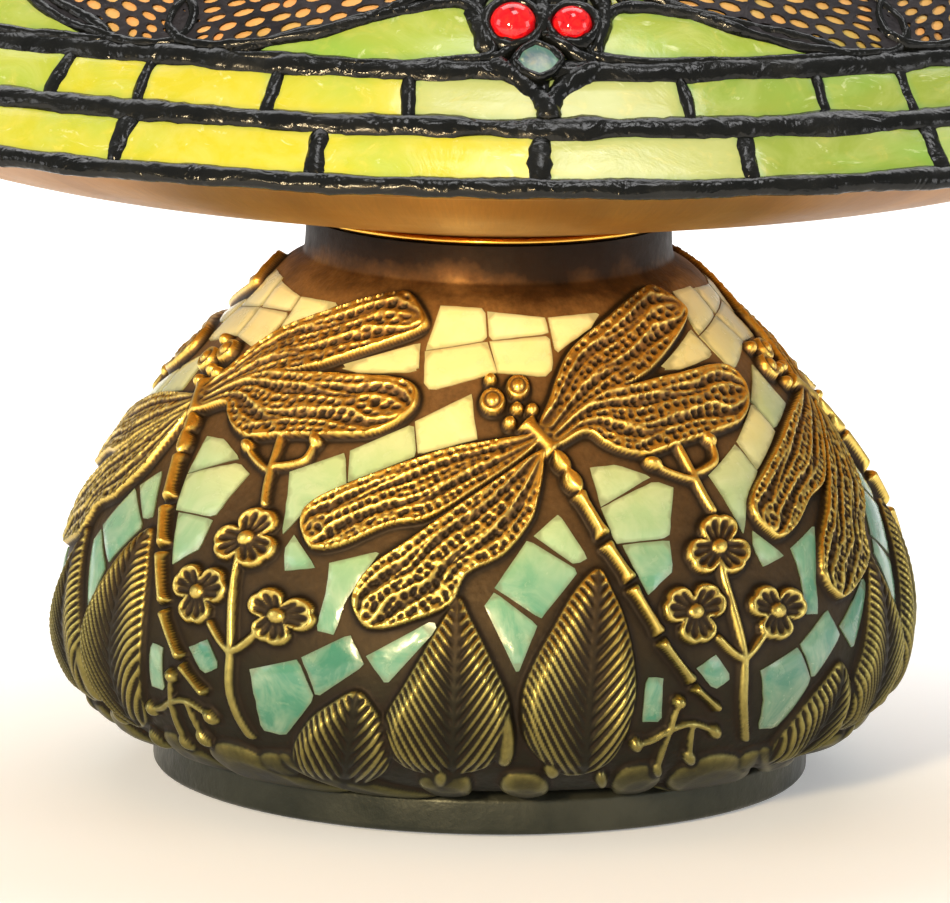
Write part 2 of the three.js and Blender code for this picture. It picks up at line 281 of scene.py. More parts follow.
def m_dish():
    m, nt, bs = nodes_of("satin_bronze")
    tc = N(nt, "ShaderNodeTexCoord")
    sx = N(nt, "ShaderNodeSeparateXYZ")
    nt.links.new(tc.outputs["Object"], sx.inputs[0])
    an = math_n(nt, "ARCTAN2", sx.outputs[1], sx.outputs[0])
    r = math_n(nt, "SQRT", math_n(nt, "ADD", math_n(nt, "MULTIPLY", sx.outputs[0], sx.outputs[0]), math_n(nt, "MULTIPLY", sx.outputs[1], sx.outputs[1])))
    cv = N(nt, "ShaderNodeCombineXYZ")
    nt.links.new(math_n(nt, "MULTIPLY", an, 26.0), cv.inputs[0])
    nt.links.new(math_n(nt, "MULTIPLY", r, 9.0), cv.inputs[1])
    n1 = noise(nt, 9.0, 6, 0.7, cv.outputs[0])
    cv2 = N(nt, "ShaderNodeCombineXYZ")
    nt.links.new(math_n(nt, "MULTIPLY", an, 3.0), cv2.inputs[0])
    nt.links.new(math_n(nt, "MULTIPLY", r, 3.0), cv2.inputs[1])
    n2 = noise(nt, 3.0, 3, 0.5, cv2.outputs[0])
    co = coords(nt)
    n3 = noise(nt, 40, 4, 0.6, co)
    base = ramp(nt, n2.outputs[0], [(0.3, (0.34, 0.145, 0.020)), (0.7, (0.50, 0.23, 0.036))])
    col = mix(nt, rng_map(nt, n1.outputs[0], 0.35, 0.7, 0.0, 0.45), base.outputs[0], (0.22, 0.095, 0.022))
    nt.links.new(col, bs.inputs["Base Color"])
    nt.links.new(rng_map(nt, n3.outputs[0], 0.3, 0.7, 0.36, 0.46), bs.inputs["Roughness"])
    bs.inputs["Metallic"].default_value = 0.95
    bs.inputs["Anisotropic"].default_value = 0.4
    bump(nt, bs, n1.outputs[0], 0.10, 0.0002)
    return m


M = {
    "relief": m_bronze_relief(),
    "tile": m_tile(),
    "glass": m_glass("border_glass", 0.12),
    "field": m_glass("field_glass", 0.12),
    "lead": m_lead(),
    "dish": m_dish(),
    "gold": simple("gold_trim", (0.78, 0.42, 0.055), (0.92, 0.55, 0.10), 1.0, 0.14, 0.26, 80, 0.1),
    "foot": simple("foot_patina", (0.022, 0.026, 0.020), (0.060, 0.062, 0.046), 0.7, 0.34, 0.55, 38, 0.5, 0.0004, 420),
    "bronze": simple("patinated_bronze", (0.085, 0.050, 0.024), (0.20, 0.115, 0.048), 0.9, 0.30, 0.48, 60, 0.3),
    "brass": simple("satin_brass", (0.50, 0.34, 0.12), (0.66, 0.47, 0.20), 1.0, 0.25, 0.42, 70, 0.15),
    "steel": simple("plated_steel", (0.42, 0.41, 0.39), (0.60, 0.59, 0.56), 1.0, 0.25, 0.40, 90, 0.15),
    "iron": simple("cast_iron", (0.030, 0.030, 0.030), (0.075, 0.072, 0.068), 0.6, 0.55, 0.8, 120, 0.8, 0.0008, 500),
    "felt": simple("green_felt", (0.035, 0.075, 0.045), (0.060, 0.115, 0.070), 0.0, 0.9, 1.0, 300, 0.9, 0.0006, 2600),
    "rubber": simple("bushing_rubber", (0.012, 0.012, 0.012), (0.030, 0.029, 0.028), 0.0, 0.5, 0.7, 200, 0.4),
    "porcelain": simple("socket_porcelain", (0.78, 0.74, 0.66), (0.88, 0.85, 0.78), 0.0, 0.18, 0.32, 60, 0.1),
    "fil": simple("filigree_metal", (0.014, 0.012, 0.014), (0.040, 0.034, 0.036), 0.75, 0.30, 0.50, 120, 0.4, 0.0003, 700),
    "bulb": simple("frosted_bulb", (0.95, 0.88, 0.70), (1.0, 0.94, 0.80), 0.0, 0.30, 0.42, 40, 0.1, Emission_Color=(1.0, 0.80, 0.50, 1), Emission_Strength=1.0),
}


def m_jewel():
    m, nt, bs = nodes_of("jewel_glass")
    co = coords(nt)
    n1 = noise(nt, 260, 4, 0.6, co, 2.0)
    col = ramp(nt, n1.outputs[0], [(0.30, (0.22, 0.0, 0.004)), (0.5, (0.62, 0.004, 0.008)), (0.72, (0.85, 0.02, 0.010))])
    nt.links.new(col.outputs[0], bs.inputs["Base Color"])
    # the jewel colour also drives emission: a painted glow standing in for light passing through the red glass
    nt.links.new(col.outputs[0], bs.inputs["Emission Color"])
    bs.inputs["Specular IOR Level"].default_value = 0.3
    bs.inputs["Emission Strength"].default_value = 0.22
    nt.links.new(rng_map(nt, n1.outputs[0], 0.3, 0.7, 0.03, 0.08), bs.inputs["Roughness"])
    bs.inputs["Coat Weight"].default_value = 0.35
    bs.inputs["Coat Roughness"].default_value = 0.02
    bump(nt, bs, n1.outputs[0], 0.10, 0.0004)
    return m


M["jewel"] = m_jewel()


# ------------------------------------------------------------------ mesh helpers (millimetres in, metres out)
def make(name, V, F, mat, body, replaces=(), smooth=True, attrs=None, sharp=None):
    me = bpy.data.meshes.new(name)
    V = np.asarray(V, np.float64) * MM
    if isinstance(F, np.ndarray):
        n, k = F.shape
        me.vertices.add(len(V))
        me.vertices.foreach_set("co", V.astype(np.float32).ravel())
        me.loops.add(n * k)
        me.loops.foreach_set("vertex_index", F.astype(np.int32).ravel())
        me.polygons.add(n)
        me.polygons.foreach_set("loop_start", np.arange(0, n * k, k, dtype=np.int32))
        me.update(calc_edges=True)
    else:
        me.from_pydata(V.tolist(), [], F)
    me.validate()
    me.polygons.foreach_set("use_smooth", np.full(len(me.polygons), smooth))
    for k, a in (attrs or {}).items():
        a = np.asarray(a, np.float32)
        if a.ndim == 1:
            at = me.attributes.new(k, "FLOAT", "POINT")
            at.data.foreach_set("value", a)
        else:
            at = me.attributes.new(k, "FLOAT_COLOR", "POINT")
            at.data.foreach_set("color", np.concatenate([a, np.ones((len(a), 1), np.float32)], 1).ravel())
    me.update()
    ob = bpy.data.objects.new(name, me)
    bpy.context.scene.collection.objects.link(ob)
    me.materials.append(mat)
    if smooth and sharp:
        me.set_sharp_from_angle(angle=math.radians(sharp))
    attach(ob, body)
    if replaces:
        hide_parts(*replaces)
    return ob


def densify(prof, step=None, sharp=()):
    """returns the profile [r, z] as an array, without rounding or subdivision; sharp is not used"""
    P = np.array(prof, float)
    return P


def lathe_arrays(prof, seg, closed=True):
    P = np.array(prof, float)
    a = np.linspace(0, 2 * np.pi, seg, endpoint=False)
    V = np.stack([P[:, 0][None, :] * np.sin(a)[:, None], -P[:, 0][None, :] * np.cos(a)[:, None], np.broadcast_to(P[:, 1], (seg, len(P)))], -1).reshape(-1, 3)
    n = len(P)
    F = []
    rng_i = range(n) if closed else range(n - 1)
    for i in range(seg):
        j = (i + 1) % seg
        for k in rng_i:
            k2 = (k + 1) % n
            q = [i * n + k, j * n + k, j * n + k2, i * n + k2]
            if P[k, 0] < 1e-6 and P[k2, 0] < 1e-6:
                continue
            if P[k, 0] < 1e-6:
                F.append([k, q[2], q[3]])
            elif P[k2, 0] < 1e-6:
                F.append([q[0], q[1], k2])
            else:
                F.append(q)
    return V, F


def rounded(prof, r=0.6, n=3):
    """fillets the corners of a closed [r, z] profile; corners on the axis stay"""
    P = [np.array(p[:2], float) for p in prof]
    out = []
    m = len(P)
    on_axis = P[0][0] < 1e-6 and P[-1][0] < 1e-6
    for i in range(m):
        p = P[i]
        if on_axis and i in (0, m - 1):
            out.append(p)
            continue
        a, b = P[i - 1], P[(i + 1) % m]
        da, db = a - p, b - p
        la, lb = np.linalg.norm(da), np.linalg.norm(db)
        k = min(r, la * 0.45, lb * 0.45)
        pa, pb = p + da / la * k, p + db / lb * k
        for t in np.linspace(0, 1, n + 1):
            out.append((1 - t) ** 2 * pa + 2 * t * (1 - t) * p + t * t * pb)
    return [tuple(q) for q in out]


def turned(name, prof, mat, body, replaces=(), seg=96, at=(0, 0, 0), r=0.6, n=3, axis=None, sharp=35):
    prof = rounded(prof, r, n)
    on_axis = prof[0][0] < 1e-6 and prof[-1][0] < 1e-6
    V, F = lathe_arrays(prof, seg, closed=not on_axis)
    if axis == "y":
        V = np.stack([V[:, 0], V[:, 2], -V[:, 1]], 1)
    V = V + np.array(at)
    return make(name, V, F, mat, body, replaces, True, None, sharp)


class Pile:
    """collects many closed bits into one piece"""

    def __init__(self):
        self.V, self.F, self.A, self.n = [], [], {}, 0

    def add(self, V, F, **attrs):
        self.V.append(np.asarray(V, float))
        self.F.extend([[i + self.n for i in f] for f in F])
        for k, a in attrs.items():
            self.A.setdefault(k, []).append(np.asarray(a, float))
        self.n += len(V)

    def make(self, name, mat, body, slot, replaces=(), smooth=True, sharp=None):
        at = {k: np.concatenate(v) for k, v in self.A.items()}
        return make(name, np.concatenate(self.V), self.F, mat, body, replaces, smooth, at, sharp)


def smoothstep(x, a=0.0, b=1.0):
    t = np.clip((x - a) / (b - a), 0, 1)
    return t * t * (3 - 2 * t)


def seg_dist(P, a, b):
    d = b - a
    t = np.clip(((P - a) @ d) / max(d @ d, 1e-12), 0, 1)
    q = P - (a + t[:, None] * d)
    return np.hypot(q[:, 0], q[:, 1]), t


def line_dist(P, L):
    best = np.full(len(P), 1e9)
    for a, b in zip(L[:-1], L[1:]):
        best = np.minimum(best, seg_dist(P, a, b)[0])
    return best


def inside(P, poly):
    c = np.zeros(len(P), bool)
    x, y = P[:, 0], P[:, 1]
    for (x0, y0), (x1, y1) in zip(poly, np.roll(poly, -1, 0)):
        k = (y0 > y) != (y1 > y)
        if k.any():
            c ^= k & (x < (x1 - x0) * (y - y0) / (y1 - y0 + 1e-12) + x0)
    return c


def sdf(P, poly):
    d = line_dist(P, np.vstack([poly, poly[:1]]))
    return np.where(inside(P, poly), d, -d)


def catmull(pts, closed=True, k=5):
    P = np.array(pts, float)
    n = len(P)
    out = []
    for i in range(n if closed else n - 1):
        p0, p1, p2, p3 = (P[(i - 1) % n], P[i], P[(i + 1) % n], P[(i + 2) % n]) if closed else (P[max(i - 1, 0)], P[i], P[i + 1], P[min(i + 2, n - 1)])
        for t in np.arange(k) / k:
            out.append(0.5 * (2 * p1 + (p2 - p0) * t + (2 * p0 - 5 * p1 + 4 * p2 - p3) * t * t + (3 * p1 - p0 - 3 * p2 + p3) * t ** 3))
    if not closed:
        out.append(P[-1])
    return np.array(out)


def resample(L, step, closed=False):
    L = np.array(L, float)
    if closed:
        L = np.vstack([L, L[:1]])
    d = np.r_[0, np.cumsum(np.hypot(*np.diff(L, axis=0).T))]
    n = max(2 if not closed else 3, int(round(d[-1] / step)) + (0 if closed else 1))
    t = np.linspace(0, d[-1], n, endpoint=not closed)
    return np.stack([np.interp(t, d, L[:, 0]), np.interp(t, d, L[:, 1])], 1)


def fill(poly, step, holes=()):
    """triangulates a plane outline with inner points; returns points, triangles, distance to the edge"""
    B = resample(poly, step, True)
    pts, edges = [B], [[i, (i + 1) % len(B)] for i in range(len(B))]
    k = len(B)
    for h in holes:
        pts.append(np.array(h))
        edges += [[k + i, k + (i + 1) % len(h)] for i in range(len(h))]
        k += len(h)
    lo, hi = B.min(0), B.max(0)
    gx, gy = np.meshgrid(np.arange(lo[0] + step / 2, hi[0], step), np.arange(lo[1] + step / 2, hi[1], step * 0.87))
    gx = gx + (np.arange(len(gx)) % 2)[:, None] * step / 2
    G = np.stack([gx.ravel(), gy.ravel()], 1)
    if len(G):
        G = G[sdf(G, B) > step * 0.5]
        for h in holes:
            if len(G):
                G = G[sdf(G, np.array(h)) < -step * 0.3]
        pts.append(G)
    P = np.concatenate(pts)
    res = delaunay_2d_cdt([Vector(p) for p in P], edges, [], 1 if not holes else 1, 1e-5)
    Q = np.array([tuple(v) for v in res[0]])
    T = [list(f) for f in res[2] if len(f) == 3]
    T = np.array(T)
    cen = Q[T].mean(1)
    keep = inside(cen, B)
    for h in holes:
        keep &= ~inside(cen, np.array(h))
    T = T[keep]
    a = Q[T[:, 0]]; b = Q[T[:, 1]]; c = Q[T[:, 2]]
    ar = (b[:, 0] - a[:, 0]) * (c[:, 1] - a[:, 1]) - (b[:, 1] - a[:, 1]) * (c[:, 0] - a[:, 0])
    T = T[np.abs(ar) > 1e-7]
    ar = ar[np.abs(ar) > 1e-7]
    T[ar < 0] = T[ar < 0][:, ::-1]
    used = np.unique(T)
    remap = -np.ones(len(Q), int)
    remap[used] = np.arange(len(used))
    Q, T = Q[used], remap[T]
    return Q, T, np.clip(sdf(Q, B), 0, None)


def plate(poly, mapf, top, bot, step, round_w=0.8, round_h=0.4, holes=()):
    """closed slab over a plane outline, its upper edge rounded off"""
    Q, T, D = fill(poly, step, holes)
    n = len(Q)
    off = top - round_h * (1 - np.sqrt(np.clip(1 - (1 - np.clip(D / round_w, 0, 1)) ** 2, 0, 1)))
    V = np.concatenate([mapf(Q, off), mapf(Q, np.full(n, bot))])
    cnt = {}
    for t in T:
        for i in range(3):
            e = (t[i], t[(i + 1) % 3])
            cnt[e] = 1
    F = [list(t) for t in T] + [[t[2] + n, t[1] + n, t[0] + n] for t in T]
    for (i, j) in cnt:
        if (j, i) not in cnt:
            F.append([j, i, i + n, j + n])
    return V, F, np.concatenate([D, D])


# ------------------------------------------------------------------ base: drawing plane of the relief, profile
FOC, DH, ZC, TY = 9844.0, 2200.0, 510.2, 72.4         # pinhole from which the relief is drawn, mm
CX, CY, OFFX, ROLL = 475.0, 451.5, 10.0, math.radians(1.0)
_fw = np.array([0, DH, TY - ZC]); _fw = _fw / np.linalg.norm(_fw)
_up = np.cross([1, 0, 0], _fw)
_c0 = np.array([0, -DH, ZC])


def to_plane(V):
    d = V - _c0
    w = d @ _fw
    ux, uy = FOC * d[:, 0] / w + OFFX, -FOC * (d @ _up) / w
    return np.stack([CX + ux * math.cos(ROLL) - uy * math.sin(ROLL), CY + ux * math.sin(ROLL) + uy * math.cos(ROLL)], 1)


def rays(P):
    dx, dy = P[:, 0] - CX, P[:, 1] - CY
    ux = dx * math.cos(ROLL) + dy * math.sin(ROLL) - OFFX
    uy = -dx * math.sin(ROLL) + dy * math.cos(ROLL)
    d = _fw[None] * FOC + np.array([1, 0, 0])[None] * ux[:, None] - _up[None] * uy[:, None]
    return d / np.linalg.norm(d, axis=1)[:, None]


BODY = np.array([[74.2, 10.8], [79, 11.6], [84, 14], [89, 18], [92.4, 23], [94.9, 29], [96, 36], [95.4, 44], [93.6, 52], [90.7, 60], [86.7, 68], [81.7, 76], [75.8, 84], [69, 92], [61.8, 100], [54.6, 107], [49.6, 112.8], [46.2, 116.0], [43.0, 118.0], [41.8, 119.8], [41.5, 125.2]])
BODY[:, 1] += body_lo[2] - 10.8
BODY[-1, 1] = body_hi[2]
_s = np.r_[0, np.cumsum(np.hypot(*np.diff(BODY, axis=0).T))]
_fine = catmull(BODY, False, 12)
_fs = np.r_[0, np.cumsum(np.hypot(*np.diff(_fine, axis=0).T))]
TLEN = _fs[-1]


def prof(t):
    return np.interp(t, _fs, _fine[:, 0]), np.interp(t, _fs, _fine[:, 1])


def prof_n(t):
    r0, z0 = prof(t - 0.6)
    r1, z1 = prof(t + 0.6)
    dr, dz = r1 - r0, z1 - z0
    l = np.hypot(dr, dz) + 1e-9
    return dz / l, -dr / l                       # outward normal (r, z), t runs upwards


_zs = np.interp(np.arange(0, TLEN, 0.25), _fs, _fine[:, 1])
_rs = np.interp(np.arange(0, TLEN, 0.25), _fs, _fine[:, 0])
_ok = np.r_[True, np.diff(_zs) > 1e-6]


def hit(P):
    """where lines through the drawing plane meet the body: azimuth (deg) and height"""
    d = rays(P)
    t = np.linspace(2080, 2330, 500)
    X = _c0[None, None] + d[:, None, :] * t[None, :, None]
    rr = np.hypot(X[..., 0], X[..., 1])
    f = rr - np.interp(X[..., 2], _zs[_ok], _rs[_ok])
    k = np.argmax(f < 0, axis=1)
    k = np.where((f < 0).any(1), k, np.argmin(f, axis=1))
    X = X[np.arange(len(P)), k]
    return np.degrees(np.arctan2(X[:, 0], -X[:, 1])), X[:, 2]


def on_body(az, z, off):
    t = np.interp(z, _zs[_ok], np.arange(0, TLEN, 0.25)[_ok])
    r, zz = prof(t)
    nr, nz = prof_n(t)
    r, zz = r + nr * off, zz + nz * off
    a = np.radians(az)
    return np.stack([r * np.sin(a), -r * np.cos(a), zz], 1)


# ---- outlines of the relief on the drawing plane
A = np.array
WINGS = [
    ([(540, 437), (500, 441), (450, 450), (400, 466), (350, 485), (318, 500), (303, 515), (303, 535), (315, 551), (345, 547), (389, 528), (430, 520), (480, 490), (530, 455)], 6),
    ([(540, 452), (500, 478), (450, 512), (410, 540), (370, 568), (352, 598), (362, 625), (380, 630), (406, 624), (450, 606), (467, 576), (504, 556), (530, 524), (538, 500), (543, 470)], 6),
    ([(536, 431), (548, 400), (555, 379), (570, 350), (605, 319), (636, 293), (651, 290), (679, 309), (682, 326), (663, 357), (639, 381), (600, 400), (570, 425), (552, 440)], 7),
    ([(548, 441), (588, 401), (639, 384), (680, 374), (708, 367), (725, 370), (740, 386), (745, 405), (740, 422), (722, 432), (679, 446), (662, 453), (645, 458), (622, 455), (601, 446), (584, 436), (557, 450)], 8),
]
BODYSEG = [((524, 424), (553, 455), 11), ((558, 461), (563, 468), 8.5), ((569, 480), (574, 487), 9.5), ((577, 495), (602, 537), 8), ((604, 545), (629, 581), 7.5), ((630, 588), (658, 634), 7), ((659, 641), (690, 681), 6.2), ((691, 686), (716, 707), 5)]
EYES = [((492, 404), 14), ((517, 390), 13)]
BALLS = [((490, 382), 6.5), ((516, 411), 7), ((531, 412), 7), ((509, 425), 7), ((544, 437), 8), ((317, 443), 7), ((250, 448), 7), ((441, 773), 9), ((551, 765), 9), ((634, 742), 7), ((677, 701), 7), ((712, 729), 7), ((687, 754), 7), ((655, 765), 6), ((600, 775), 7)]
STEMS = [([(266, 505), (268, 490), (273, 470), (283, 439)], 4.5), ([(274, 468), (292, 466), (307, 461), (316, 446)], 4), ([(272, 474), (262, 466), (254, 457), (250, 449)], 4),
         ([(743, 735), (741, 700), (741, 652), (728, 600)], 5), ([(741, 660), (728, 650), (716, 638)], 4.5), ([(741, 660), (752, 648), (764, 630)], 4.5), ([(728, 600), (722, 580), (718, 565)], 4.5),
         ([(634, 742), (650, 738), (668, 728), (690, 722), (712, 729)], 3.5), ([(668, 728), (677, 701)], 3.5), ([(690, 722), (687, 754)], 3.5), ([(668, 728), (655, 765)], 3.5)]
LEAVES = [
    ([(458, 596), (440, 622), (405, 680), (384, 716), (386, 748), (412, 768), (455, 772), (492, 762), (509, 730), (510, 700), (490, 655), (472, 620)], (458, 592), (452, 772)),
    ([(597, 568), (573, 590), (552, 625), (530, 665), (519, 700), (525, 742), (560, 772), (600, 766), (622, 742), (635, 700), (634, 660), (625, 620), (612, 590)], (597, 566), (582, 772)),
    ([(358, 689), (332, 700), (308, 718), (293, 745), (300, 768), (335, 780), (372, 778), (392, 760), (388, 728), (375, 705)], (359, 688), (345, 780)),
]
BUDS = [([(504, 705), (494, 720), (492, 745), (498, 762), (510, 762), (515, 745), (513, 720)], 2.0), ([(470, 775), (455, 768), (430, 768), (418, 780), (440, 792), (470, 790)], 1.8), ([(545, 775), (530, 770), (505, 772), (500, 786), (525, 794), (548, 788)], 1.8),
        ([(610, 778), (625, 765), (650, 762), (660, 775), (640, 790), (615, 790)], 1.6),
        ([(664, 778), (690, 758), (722, 750), (748, 758), (742, 776), (712, 788), (680, 792)], 1.9), ([(250, 762), (262, 750), (284, 752), (302, 770), (290, 788), (262, 782)], 1.7), ([(752, 750), (772, 742), (790, 748), (796, 762), (780, 774), (760, 772)], 1.6)]
FLOWERS = [((716, 548), 33, -90), ((693, 612), 33, 82), ((774, 611), 30, 95)]


def relief(P):
    """height of the raised pattern at points of the drawing plane, mm"""
    H = np.zeros(len(P))
    G = np.ones(len(P))

    def put(sel, h):
        H[sel] = np.maximum(H[sel], h)

    def near(pts, m=14):
        lo, hi = np.min(pts, 0) - m, np.max(pts, 0) + m
        return np.where((P[:, 0] > lo[0]) & (P[:, 0] < hi[0]) & (P[:, 1] > lo[1]) & (P[:, 1] < hi[1]))[0]

    for poly, tipi in WINGS:
        C = catmull(poly, True, 5)
        k = near(C)
        if not len(k):
            continue
        Q = P[k]
        root = C[0]
        far = int(np.argmax(np.hypot(*(C - root).T)))
        up_l, lo_l = C[: far + 1], np.vstack([C[far:], C[:1]])
        dU, dL = line_dist(Q, up_l), line_dist(Q, lo_l)
        sd = np.where(inside(Q, C), np.minimum(dU, dL), -np.minimum(dU, dL))
        q = (dU - dL) / (dU + dL + 1e-6)
        hw = (dU + dL) / 2
        ax = C[far] - root
        ln = np.linalg.norm(ax)
        l = (Q - root) @ (ax / ln)
        h = 2.2 * smoothstep(sd, -0.8, 2.2)
        h += 0.34 * np.exp(-((sd - 2.0) / 1.2) ** 2)
        inn = smoothstep(sd, 2.8, 4.4)
        h -= 0.42 * inn
        qs = (-0.62, -0.24, 0.14, 0.54)
        vein = np.zeros(len(Q))
        for vi, q0 in enumerate(qs):
            qq = q0 + 0.03 * np.sin(2 * np.pi * l / ln * (1.1 + 0.3 * vi) + vi)
            vein = np.maximum(vein, np.exp(-((q - qq) * hw / 1.35) ** 2) * (1.0 if vi != 1 else smoothstep(l / ln, 0.10, 0.3)))
        for r0, r1, q0, q1 in ((0.34, 0.66, 0.14, 0.54), (0.50, 0.86, -0.62, -0.24)):
            tt = (l / ln - r0) / (r1 - r0)
            qq = q0 + (q1 - q0) * np.clip(tt, 0, 1)
            vein = np.maximum(vein, np.exp(-((q - qq) * hw / 1.3) ** 2) * (tt > 0) * (tt < 1))
        cl = 7.8
        gx, gy = l / cl, ((Q - root) @ (A([-ax[1], ax[0]]) / ln)) / cl + 100
        best = np.full(len(Q), 9.0)
        bx, by = np.floor(gx), np.floor(gy)
        for ox in (-1, 0, 1):
            for oy in (-1, 0, 1):
                cx, cy = bx + ox, by + oy
                jx = (np.sin(cx * 127.1 + cy * 311.7) * 43758.5453) % 1.0
                jy = (np.sin(cx * 269.5 + cy * 183.3) * 43758.5453) % 1.0
                dd = np.hypot(gx - cx - 0.22 - 0.56 * jx - 0.0, gy - cy - 0.22 - 0.56 * jy)
                best = np.minimum(best, dd)
        pit = smoothstep(0.44 - best, 0.0, 0.17)
        h += inn * (0.52 * vein - 0.85 * pit * (1 - vein) * smoothstep(l / ln, 0.06, 0.2))
        h += 0.25 * inn * np.cos(np.pi * 2.5 * q)
        h = np.where(sd > -1.0, h, 0)
        put(k, h)
    for a, b, w in BODYSEG:
        k = near([a, b])
        if len(k):
            a_, b_ = A(a, float), A(b, float)
            ln_ = math.hypot(*(b_ - a_))
            dr = (b_ - a_) / ln_
            al = (P[k] - a_) @ dr
            ac = np.abs((P[k] - a_) @ A([-dr[1], dr[0]]))
            if ln_ > 20:
                e = np.minimum(al, ln_ - al)
                w2 = w * (0.74 + 0.30 * np.exp(-(e / 7.0) ** 2))
                hh = smoothstep(e, -1.5, 1.8)
            else:
                m_ = np.abs(al - ln_ / 2) / (w * 0.9 + ln_ / 2)
                w2 = w * np.sqrt(np.clip(1 - m_ ** 2, 0, 1)) + 1e-6
                hh = (m_ < 1) * 1.0
            x = np.clip(1 - (ac / w2) ** 2, 0, 1)
            put(k, np.where(ac < w2 + 1.5, (0.9 * smoothstep(w2 - ac, -1.5, 1.5) + 2.1 * x ** 0.75) * hh, 0))
    for c, r in EYES:
        k = near([c])
        if len(k):
            d = np.hypot(*(P[k] - A(c, float)).T)
            h = np.where(d < r, 1.7 * smoothstep(r - d, 0, 3) + 0.9 * np.exp(-((d - r * 0.74) / 2.0) ** 2), 0)
            h = np.maximum(h, np.where(d < r * 0.52, 1.6 + 1.6 * np.sqrt(np.clip(1 - (d / (r * 0.52)) ** 2, 0, 1)), 0))
            put(k, h)
    for c, r in BALLS:
        k = near([c])
        if len(k):
            d = np.hypot(*(P[k] - A(c, float)).T)
            put(k, 0.7 * smoothstep(r - d, -1.2, 1.2) + 2.0 * np.clip(1 - (d / r) ** 2, 0, 1) ** 0.6)
    for L, w in STEMS:
        C = catmull(L, False, 5)
        k = near(C)
        if len(k):
            d = line_dist(P[k], C)
            put(k, 0.45 * smoothstep(w - d, -1.2, 1.2) + 1.35 * np.clip(1 - (d / w) ** 2, 0, 1) ** 0.7)
    for poly, tip, base in LEAVES:
        C = catmull(poly, True, 5)
        k = near(C)
        if len(k):
            Q = P[k]
            sd = sdf(Q, C)
            tip_, base_ = A(tip, float), A(base, float)
            ax = (base_ - tip_) / np.linalg.norm(base_ - tip_)
            nx = A([-ax[1], ax[0]])
            l, w = (Q - tip_) @ ax, np.abs((Q - tip_) @ nx)
            wmax = np.abs((C - tip_) @ nx).max()
            v = w / wmax
            rib = 0.5 + 0.5 * np.cos(2 * np.pi * (l + 1.15 * w + 0.006 * w * w) / 12.5)
            h = 1.0 * smoothstep(sd, -1, 3) + 2.0 * smoothstep(sd, 0, 16) * (0.45 + 0.75 * np.sin(np.clip(v, 0, 1) * np.pi * 0.62))
            h += 0.35 * np.exp(-((sd - 2.2) / 1.6) ** 2) + 1.15 * smoothstep(sd, 1.5, 6) * (rib ** 0.9 - 0.55) * smoothstep(w, 1.5, 6)
            h += 0.35 * np.exp(-(w / 1.8) ** 2) * smoothstep(sd, 0, 6)
            put(k, np.where(sd > -1, h, 0))
            G[k] = np.where(sd > 0, 0.22 + 0.78 * smoothstep(w / (w + sd + 1e-6), 0.10, 0.70), G[k])
    for poly, hh in BUDS:
        C = catmull(poly, True, 4)
        k = near(C)
        if len(k):
            sd = sdf(P[k], C)
            put(k, np.where(sd > 0, 0.6 + hh * np.sqrt(np.clip(sd / 10, 0, 1)), 0))
    for (cx, cy), R, rot in FLOWERS:
        k = near([(cx, cy)], R + 10)
        if not len(k):
            continue
        Q = P[k]
        dx, dy = Q[:, 0] - cx, Q[:, 1] - cy
        d = np.hypot(dx, dy)
        th = np.degrees(np.arctan2(dy, dx)) - rot
        m = ((th + 60) % 120 - 60) / 60.0                      # -1..1 across each petal
        lobe = R * (0.34 + 0.68 * np.clip(1 - np.abs(m) ** 2.6, 0, 1) ** 0.55 - 0.05 * np.exp(-(m / 0.10) ** 2))
        e = lobe - d
        h = 1.5 * smoothstep(e, -0.6, 2.6) + 0.45 * np.exp(-((e - 4.0) / 3.0) ** 2)
        h -= 0.45 * smoothstep(e, 6.0, 13.0) * smoothstep(d, 5, 9)
        h += 0.30 * smoothstep(e, 4.0, 9.0) * smoothstep(d, 7, 10) * np.cos(m * np.pi * 5.0)
        st = 0.22 * np.cos(Q[:, 0] * 1.7) * np.cos(Q[:, 1] * 1.7)
        h = np.maximum(h, np.where(d < 7.5, 1.6 + 0.7 * np.sqrt(np.clip(1 - (d / 7.5) ** 2, 0, 1)) + st, 0))
        put(k, np.where(e > -0.6, h, 0))
    return H, G


NU = 300
NT = 370
U0 = -30.0
us = U0 + 72.0 * np.arange(NU) / NU
ts = np.linspace(0, TLEN, NT)
r_, z_ = prof(ts)
nr_, nz_ = prof_n(ts)
SS = 2
us2 = U0 + 72.0 * (np.arange(SS * NU) - (SS - 1) / 2) / (SS * NU)
ts2 = np.clip((np.arange(SS * NT) - (SS - 1) / 2) / SS * (ts[1] - ts[0]), 0, TLEN)
r2_, z2_ = prof(ts2)
H = np.zeros((SS * NU, SS * NT))
G = np.ones((SS * NU, SS * NT))
for k in (-1, 0, 1):
    az = np.radians(us2 + 72.0 * k)
    X = np.stack([r2_[None] * np.sin(az)[:, None], -r2_[None] * np.cos(az)[:, None], np.broadcast_to(z2_, H.shape)], -1)
    ok = (np.abs(np.degrees(az)) < 66)[:, None] & np.ones((1, SS * NT), bool)
    if ok.any():
        h_, g_ = relief(to_plane(X[ok]))
        H[ok] = np.maximum(H[ok], h_)
        G[ok] = np.minimum(G[ok], g_)
H = H.reshape(NU, SS, NT, SS).mean((1, 3))
G = G.reshape(NU, SS, NT, SS).mean((1, 3))
fade = smoothstep(ts, 0.0, 3.0) * smoothstep(z_, body_hi[2] - 5.0, body_hi[2] - 12.0)
H *= fade[None]


def blur(a, n):
    for _ in range(n):
        a = (np.roll(a, 1, 0) + np.roll(a, -1, 0) + a) / 3
        p = np.pad(a, ((0, 0), (1, 1)), "edge")
        a = (p[:, :-2] + p[:, 2:] + a) / 3
    return a


